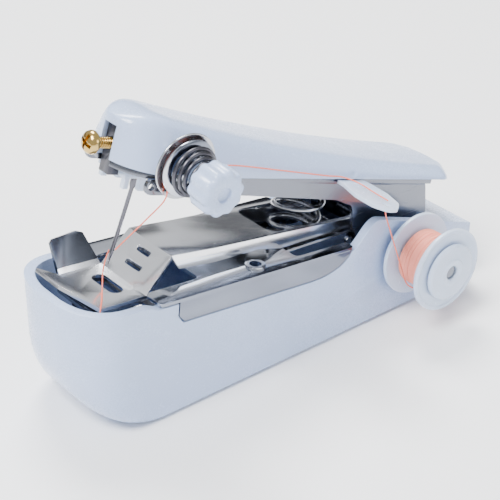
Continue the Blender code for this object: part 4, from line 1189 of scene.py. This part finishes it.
# ------------------------------------------------------------------------------------------------
# The tension unit
# ------------------------------------------------------------------------------------------------
@dataclass
class TensionUnit:
    """Two polished discs, a conical spring and a fluted knob on a stud.

    Attributes:
        disc: Radius of the rear disc, in millimetres.
        disc_y: Where the discs sit along the stud, in millimetres.
        knob: Radius of the knob, in millimetres.
        face: Place of the knob's outer face, in millimetres.
        depth: Length of the knob, in millimetres.
        flutes: Flutes round the knob.
        flute_depth: Depth of a flute, in millimetres.
        bore: Radius of the holes for the stud, in millimetres.
        wide: Radius of the spring's coil at the discs, in millimetres.
        narrow: Radius of its coil at the knob, in millimetres.
        turns: Its turns.
        wire: Radius of its wire, in millimetres.
    """

    disc: float = 7.2
    disc_y: float = -12.8
    knob: float = 5.1
    face: float = -26.4
    depth: float = 6.2
    flutes: int = 10
    flute_depth: float = 0.55
    bore: float = 1.55
    wide: float = 5.3
    narrow: float = 3.2
    turns: float = 3.5
    wire: float = 0.44

    def discs(self) -> list[bpy.types.Object]:
        """Turn the two thread discs, dished and with rolled rims.

        Returns:
            The rear disc and the front one, along the stud's own axis.
        """
        r, q, b = self.disc, self.disc - 1.0, self.bore
        rear = [(r, 0.28), (r - 0.15, 0.42), (r - 0.5, 0.3), (r - 1.7, 0.02), (b, 0.0), (b, -0.48),
                (r - 1.7, -0.48), (r - 0.5, -0.2), (r - 0.05, -0.02)]
        front = [(q, 0.2), (q, -0.2), (q - 1.6, -0.6), (q - 2.6, -0.42), (b, -0.42), (b, 0.0),
                 (q - 1.9, 0.0), (q - 0.3, 0.2)]
        back = turned("tension_disc_back", soften(rear, 0.12, 2), 128)
        fore = turned("tension_disc_fore", soften(front, 0.12, 2), 128)
        placed(back, Matrix.Translation((0, (self.disc_y - 0.2) * MM, 0)) @ Matrix.Rotation(math.pi, 4, "X"))
        placed(fore, Matrix.Translation((0, (self.disc_y - 1.45) * MM, 0)))
        return [shade(back, 40.0), shade(fore, 40.0)]

    def spring(self) -> bpy.types.Object:
        """Coil the conical spring, wide at the disc and narrow at the knob.

        Returns:
            The spring, along the stud's own axis.
        """
        steps = 170
        start, end = self.disc_y - 2.9, self.face + self.depth + 0.9
        points = []
        for step in range(steps + 1):
            t = step / steps
            radius = self.wide + (self.narrow - self.wide) * t
            angle = 2 * math.pi * self.turns * t
            y = start + (end - start) * t
            points.append(Vector((radius * math.cos(angle), y, radius * math.sin(angle))))
        return sweep("tension_spring_wire", points, self.wire, 16)

    def grip_rings(self) -> list[Point]:
        """Outline of the knob.

        Returns:
            Radius, place along the stud and share of the flutes' depth, from the face round to the bore.
        """
        k, b, outer, inner = self.knob, self.bore, self.face, self.face + self.depth
        neck = self.disc_y - 3.6
        return [(0.0, outer + 0.75, 0.0), (1.35, outer + 0.75, 0.0), (1.55, outer + 0.6, 0.0),
                (1.6, outer + 0.15, 0.0), (1.75, outer, 0.0), (k - 1.3, outer, 0.15),
                (k - 0.75, outer + 0.1, 0.5), (k - 0.25, outer + 0.45, 0.85), (k, outer + 1.0, 1.0),
                (k, inner - 0.9, 1.0), (k - 0.25, inner - 0.35, 0.85), (k - 0.9, inner, 0.4),
                (2.7, inner, 0.0), (2.35, inner + 0.2, 0.0), (2.3, neck - 0.3, 0.0), (2.1, neck, 0.0),
                (1.62, neck, 0.0), (b, neck - 0.2, 0.0), (b, outer + 1.6, 0.0), (0.0, outer + 1.6, 0.0)]

    def grip(self) -> bpy.types.Object:
        """Loft the fluted knob with rounded shoulders, a face recess and its neck.

        Returns:
            The knob, along the stud's own axis.
        """
        sides = self.flutes * 16
        work = bmesh.new()
        loops = []
        for radius, y, share in self.grip_rings():
            loop = []
            for k in range(sides):
                angle = 2 * math.pi * k / sides
                dip = 0.5 * (1 + math.cos(self.flutes * angle))
                r = radius - self.flute_depth * share * dip ** 1.2
                loop.append(work.verts.new((r * MM * math.cos(angle), y * MM, r * MM * math.sin(angle))))
            loops.append(loop)
        for loop, after in zip(loops, loops[1:]):
            for k in range(sides):
                j = (k + 1) % sides
                work.faces.new((loop[k], loop[j], after[j], after[k]))
        bmesh.ops.remove_doubles(work, verts=work.verts, dist=TOUCHING)
        bmesh.ops.dissolve_degenerate(work, edges=work.edges, dist=TOUCHING)
        return shade(bake_form("tension_knob_moulding", work), 50.0)

    def build(self) -> None:
        """Make and dress the unit."""
        back, fore = self.discs()
        deliver(placed(back, TENSION), BRIGHT, "knob", "bright_sheet", "tension_disc_rear")
        deliver(placed(fore, TENSION), PLATED, "knob", "bright_sheet", "tension_disc_front")
        deliver(placed(self.spring(), TENSION), BLACKENED, "knob", "dark_steel", "tension_spring")
        deliver(placed(self.grip(), TENSION), WHITE, "knob", "white_plastic", "tension_knob")


# ------------------------------------------------------------------------------------------------
# The spool
# ------------------------------------------------------------------------------------------------
@dataclass
class Spool:
    """A milky bobbin wound with coral thread, and its cap.

    Attributes:
        flange: Radius of the flanges, in millimetres.
        near: Outer face of the flange that is away from the tub, in millimetres along Y.
        far: Outer face of the flange by the tub, in millimetres along Y.
        thick: Thickness of a flange, in millimetres.
        core: Radius of the core, in millimetres.
        wound: Radius of the wound thread, in millimetres.
        bore: Radius of the bore, in millimetres.
        strand: Radius of one strand of the winding, in millimetres.
    """

    # each layer's radius in millimetres, its turns, and how far its strands wander in millimetres
    LAYERS = ((6.42, 19.0, 0.09), (6.52, 13.0, 0.3), (6.62, 8.0, 0.54), (6.56, 16.0, 0.24))
    flange: float = 10.15
    near: float = -27.7
    far: float = -16.9
    thick: float = 1.0
    core: float = 3.4
    wound: float = 6.9
    bore: float = 1.6
    strand: float = 0.19

    def bobbin(self) -> bpy.types.Object:
        """Turn the bobbin with rounded flange edges and a raised hub ring on its outer face.

        Returns:
            The bobbin, along its own axis.
        """
        f, t, near, far = self.flange, self.thick, self.near, self.far
        profile = [(f, far), (f, far - t), (self.core, far - t), (self.core, near + t), (f, near + t),
                   (f, near), (f - 0.9, near), (f - 1.1, near + 0.12), (self.bore + 0.4, near + 0.12),
                   (self.bore, near + 0.3), (self.bore, far)]
        return shade(turned("bobbin_moulding", soften(profile, 0.28, 3), 128), 40.0)

    def cap(self) -> bpy.types.Object:
        """Turn the stepped cap that keeps the bobbin on its pin.

        Returns:
            The cap, along the spool's axis.
        """
        top = self.near - 0.3
        profile = [(6.85, top), (6.85, top - 0.9), (6.35, top - 1.2), (3.5, top - 1.2), (3.3, top - 1.5),
                   (2.2, top - 1.5), (1.7, top - 1.2), (self.bore, top - 0.9), (self.bore, top)]
        return shade(turned("bobbin_cap_moulding", soften(profile, 0.2, 3), 128), 40.0)

    def layer(self, coils: CoilMaker, index: int, low: float, high: float) -> bpy.types.Object:
        """Wind one layer of single strands.

        Args:
            coils: Makes the strands.
            index: Number of the layer; odd ones are wound the other way.
            low: Where the wound part starts, in millimetres along Y.
            high: Where it ends.

        Returns:
            The layer, along the spool's axis.
        """
        radius, turns, wander = self.LAYERS[index]
        width = (high - low - 0.5) * MM
        flip = Matrix.Rotation(math.pi * (index % 2), 4, "X")
        place = (Matrix.Translation((0, (low + high) / 2 * MM, 0)) @ ALONG_Y @ flip
                 @ Matrix.Translation((0, 0, -width / 2)))
        return coils.make(f"winding_layer_{index}", CORAL, place, seed=index, Turns=turns,
                          Start_Radius=(radius - 0.1) * MM, End_Radius=radius * MM, Height=width,
                          Strand_Radius=self.strand * MM, Wander=wander * MM, Wander_Scale=220.0)

    def winding(self, coils: CoilMaker) -> bpy.types.Object:
        """Wind the thread: a packed heart with crossing layers of single strands over it.

        Args:
            coils: Makes the strands.

        Returns:
            Heart and layers as one piece, along the spool's axis.
        """
        low, high = self.near + self.thick + 0.3, self.far - self.thick - 0.3
        rim, core = self.wound, self.core + 0.3
        heart = [(rim - 0.9, high - 0.05), (rim - 0.45, high - 1.0), (rim - 0.4, low + 1.0),
                 (rim - 0.9, low + 0.05), (core, low + 0.05), (core, high - 0.05)]
        pack = turned("thread_winding", soften(heart, 0.3, 3), 96)
        work = bmesh.new()
        work.from_mesh(pack.data)
        for index in range(len(self.LAYERS)):
            layer = self.layer(coils, index, low, high)
            work.from_mesh(layer.data)
            bpy.data.objects.remove(layer)
        work.to_mesh(pack.data)
        work.free()
        return shade(pack, 60.0)

    def build(self, coils: CoilMaker) -> None:
        """Make and dress the spool.

        Args:
            coils: Makes the winding.
        """
        deliver(placed(self.bobbin(), SPOOL), MILKY, "spool", "translucent_plastic", "bobbin")
        deliver(placed(self.winding(coils), SPOOL), CORAL, "spool", "coral_thread", "bobbin_thread")
        deliver(placed(self.cap(), SPOOL), MILKY, "spool", "white_plastic", "bobbin_cap")


# ------------------------------------------------------------------------------------------------
# The stitch drive
# ------------------------------------------------------------------------------------------------
@dataclass
class StitchDrive:
    """The slide, looper and feed bar under the plate.

    Attributes:
        rounding: Rounding of the slide's and the looper's edges, in metres.
        tooth_rounding: Rounding of the feed bar's edges, in metres.
    """

    rounding: float = 0.14 * MM
    tooth_rounding: float = 0.06 * MM

    def build(self) -> None:
        """Make and dress the three movers."""
        deliver(from_frame("drive_slide", "drive_slide_bar", self.rounding), BRIGHT, "slide", "steel",
                "drive_slide")
        deliver(from_frame("looper_hook", "looper_blade", self.rounding), BRIGHT, "looper", "steel",
                "looper_hook")
        deliver(from_frame("feed_dog", "feed_bar", self.tooth_rounding), BLACKENED, "feed", "dark_steel",
                "feed_dog")


# ------------------------------------------------------------------------------------------------
# The thread
# ------------------------------------------------------------------------------------------------
@dataclass
class Thread:
    """Three lengths of thread: spool to guide, guide to needle, and the free tail.

    Attributes:
        radius: Radius of the thread, in millimetres.
        winding: Radius of its turn round the wound pack, in millimetres.
        spacing: Distance between the points of its routes, in millimetres.
    """

    # routes in millimetres: CLIMB and TAIL in the base's frame, RUN in the arm's
    CLIMB = [(25.2, -22.6, 19.8), (20.8, -24.3, 28.2), (16.9, -25.9, 35.6), (16.1, -26.4, 37.4)]
    RUN = [(-26.0, -26.4, 16.9), (-25.6, -22.0, 16.9), (-25.4, -16.5, 17.1), (-27.4, -13.1, 17.2),
           (-32.0, -12.6, 17.3), (-46.0, -12.6, 18.4), (-58.0, -12.9, 19.4), (-65.3, -13.6, 19.8),
           (-67.5, -13.69, 20.8), (-69.9, -13.77, 21.7), (-72.7, -13.8, 22.1), (-75.3, -13.69, 20.8),
           (-76.1, -13.44, 18.0), (-76.1, -13.16, 14.8), (-76.0, -12.9, 11.8), (-75.8, -8.6, 5.9),
           (-75.4, -0.95, -3.9)]
    TAIL = [(-37.1, 0.9, 35.0), (-38.1, 0.9, 33.0), (-39.3, 0.3, 30.9), (-40.4, -1.0, 29.0),
            (-41.6, -2.6, 28.4), (-43.6, -5.6, 28.7), (-45.4, -8.0, 29.0), (-47.0, -9.8, 28.3),
            (-47.9, -10.6, 25.6),
            (-48.0, -10.8, 22.0), (-47.6, -10.4, 18.0), (-47.0, -9.6, 14.6)]
    radius: float = 0.15
    winding: float = 7.55
    spacing: float = 0.6

    def lay(self, name: str, route: Sequence[Point], place: Matrix,
            node: str) -> tuple[bpy.types.Object, list[Vector]]:
        """Args:
            name: The piece's name.
            route: Points of its route, in millimetres.
            place: Where the route's frame is.
            node: The frame node that it stands for.

        Returns:
            The dressed thread and its path in metres.
        """
        path = smooth_route(route, self.spacing)
        tube = placed(sweep(name, path, self.radius, 10), place)
        # the free thread takes the paler strand colour: painted light
        tube.data.materials.append(LIT_STRAND.material())
        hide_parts(node)
        line = [place @ (point * MM) for point in path]
        length_of(line)
        LOG.info("%s: %.1f mm long", name, length_of(path))
        return tube, line

    def build(self) -> None:
        """Lay all three lengths, and put the one along the arm on the arm's body."""
        middle = PIVOT / MM
        turn = [(middle.x + self.winding * math.cos(angle), -21.0, middle.z + self.winding * math.sin(angle))
                for angle in map(math.radians, (300, 282, 264, 246, 228, 207))]
        supply, line = self.lay("thread_from_spool", turn + self.CLIMB, Matrix.Identity(4),
                                "thread_supply")
        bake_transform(supply)
        run, _ = self.lay("thread_along_arm", self.RUN, ARM, "thread_run")
        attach(run, "arm")
        tail, line = self.lay("thread_tail_end", self.TAIL, Matrix.Identity(4),
                              "thread_tail")
        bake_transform(tail)

    @staticmethod
    def metres(point: Point) -> Point:
        """A route point in metres."""
        return tuple(value * MM for value in point)


# ------------------------------------------------------------------------------------------------
# The studio
# ------------------------------------------------------------------------------------------------
@dataclass
class Studio:
    """Pale floor, soft lights and the camera.

    Attributes:
        azimuth: Camera's place round the machine, in degrees.
        elevation: Its height above the horizon, in degrees.
        distance: From the machine, in metres.
        aim: Height of the point it looks at, in metres.
        lens: Focal length, in millimetres on a 36 mm sensor.
    """

    azimuth: float = -39.0
    elevation: float = 30.5
    distance: float = 0.322
    aim: float = 0.0216
    lens: float = 102.1

    def camera(self) -> None:
        """Set up the camera."""
        turn, rise = math.radians(self.azimuth), math.radians(self.elevation)
        away = Vector((math.sin(turn) * math.cos(rise), -math.cos(turn) * math.cos(rise), math.sin(rise)))
        data = bpy.data.cameras.new("camera")
        data.lens = self.lens
        data.sensor_width = 36.0
        data.clip_start = 0.01
        data.clip_end = 50.0
        camera = bpy.data.objects.new("camera", data)
        camera.location = Vector((0.0, 0.0, self.aim)) + away * self.distance
        camera.rotation_euler = away.to_track_quat("Z", "Y").to_euler()
        bpy.context.scene.collection.objects.link(camera)
        bpy.context.scene.camera = camera

    def lamp(self, name: str, place: Point, size: float, power: float,
             colour: Colour = (1.0, 1.0, 1.0)) -> None:
        """Hang one soft light, aimed at the machine.

        Args:
            name: The light's name.
            place: Where it hangs, in metres.
            size: Its width, in metres.
            power: Its power, in watts.
            colour: Its colour.
        """
        data = bpy.data.lights.new(name, "AREA")
        data.shape = "DISK"
        data.size = size
        data.energy = power
        data.color = colour
        lamp = bpy.data.objects.new(name, data)
        lamp.location = place
        lamp.rotation_euler = (Vector(place) - Vector((0.0, 0.0, 0.03))).to_track_quat("Z", "Y").to_euler()
        bpy.context.scene.collection.objects.link(lamp)

    def sky(self) -> None:
        """Light the room: bright above, with a dim band near the horizon for metal to mirror."""
        world = bpy.data.worlds.new("room")
        world.use_nodes = True
        bench = Bench(world.node_tree)
        place = bench.wire("ShaderNodeTexCoord", output="Generated")
        parts = bench.add("ShaderNodeSeparateXYZ", {}, {"Vector": place})
        across, depth, height = (Wire(bench, parts.outputs[axis]) for axis in "XYZ")
        behind = across * 0.63 + depth * 0.78
        low = bench.wire("ShaderNodeValToRGB", {"stops": [
            (0.0, (0.0, 0.0, 0.0)), (0.49, (0.1, 0.1, 0.1)), (0.52, (1.0, 1.0, 1.0)), (0.60, (1.0, 1.0, 1.0)),
            (0.64, (0.1, 0.1, 0.1)), (0.85, (0.0, 0.0, 0.0))]}, {"Fac": height * 0.5 + 0.5})
        dim = bench.wire("ShaderNodeMapRange", {"interpolation_type": "SMOOTHSTEP"},
                         {"Value": behind, "From Min": -0.35, "From Max": 0.25})
        bands = bench.wire("ShaderNodeTexWave", {"bands_direction": "X"},
                           {"Vector": place, "Scale": 1.3, "Distortion": 2.2, "Detail": 1.0})
        window = bench.wire("ShaderNodeMapRange", {"interpolation_type": "SMOOTHSTEP"},
                            {"Value": bands, "From Min": 0.62, "From Max": 0.8, "To Max": 0.75})
        shadow = low * dim * (1.0 - window)
        colour = bench.mix(shadow, (0.95, 0.97, 1.0), (0.03, 0.032, 0.04))
        light = bench.add("ShaderNodeBackground", {}, {"Color": colour, "Strength": 0.85})
        out = bench.add("ShaderNodeOutputWorld")
        bench.feed(out.inputs["Surface"], light.outputs["Background"])
        bpy.context.scene.world = world

    def floor(self) -> None:
        """Lay the floor."""
        bpy.ops.mesh.primitive_plane_add(size=6.0, location=(0.0, 0.0, -0.0001))
        floor = bpy.context.object
        floor.name = "studio_floor"
        floor.data.materials.append(FLOOR.material())

    def build(self) -> None:
        """Set up everything."""
        self.camera()
        self.floor()
        self.sky()
        self.lamp("key_light", (-0.6, -0.1, 0.9), 0.45, 20.0)
        self.lamp("side_light", (0.35, -0.8, 0.35), 0.4, 2.0, (0.94, 0.97, 1.0))
        self.lamp("back_light", (0.25, 0.5, 0.95), 0.45, 16.0)


def main() -> None:
    """Build the machine round its frame, piece by piece."""
    logging.basicConfig(level=logging.INFO, format="%(message)s")
    Studio().build()
    Thread().build()
    coils = CoilMaker()
    Tub().build()
    Springs().build()
    Presser().build()
    Arm().build()
    NeedleScrew().build(coils)
    TensionUnit().build()
    Spool().build(coils)
    StitchDrive().build()


if __name__ == "__main__":
    main()
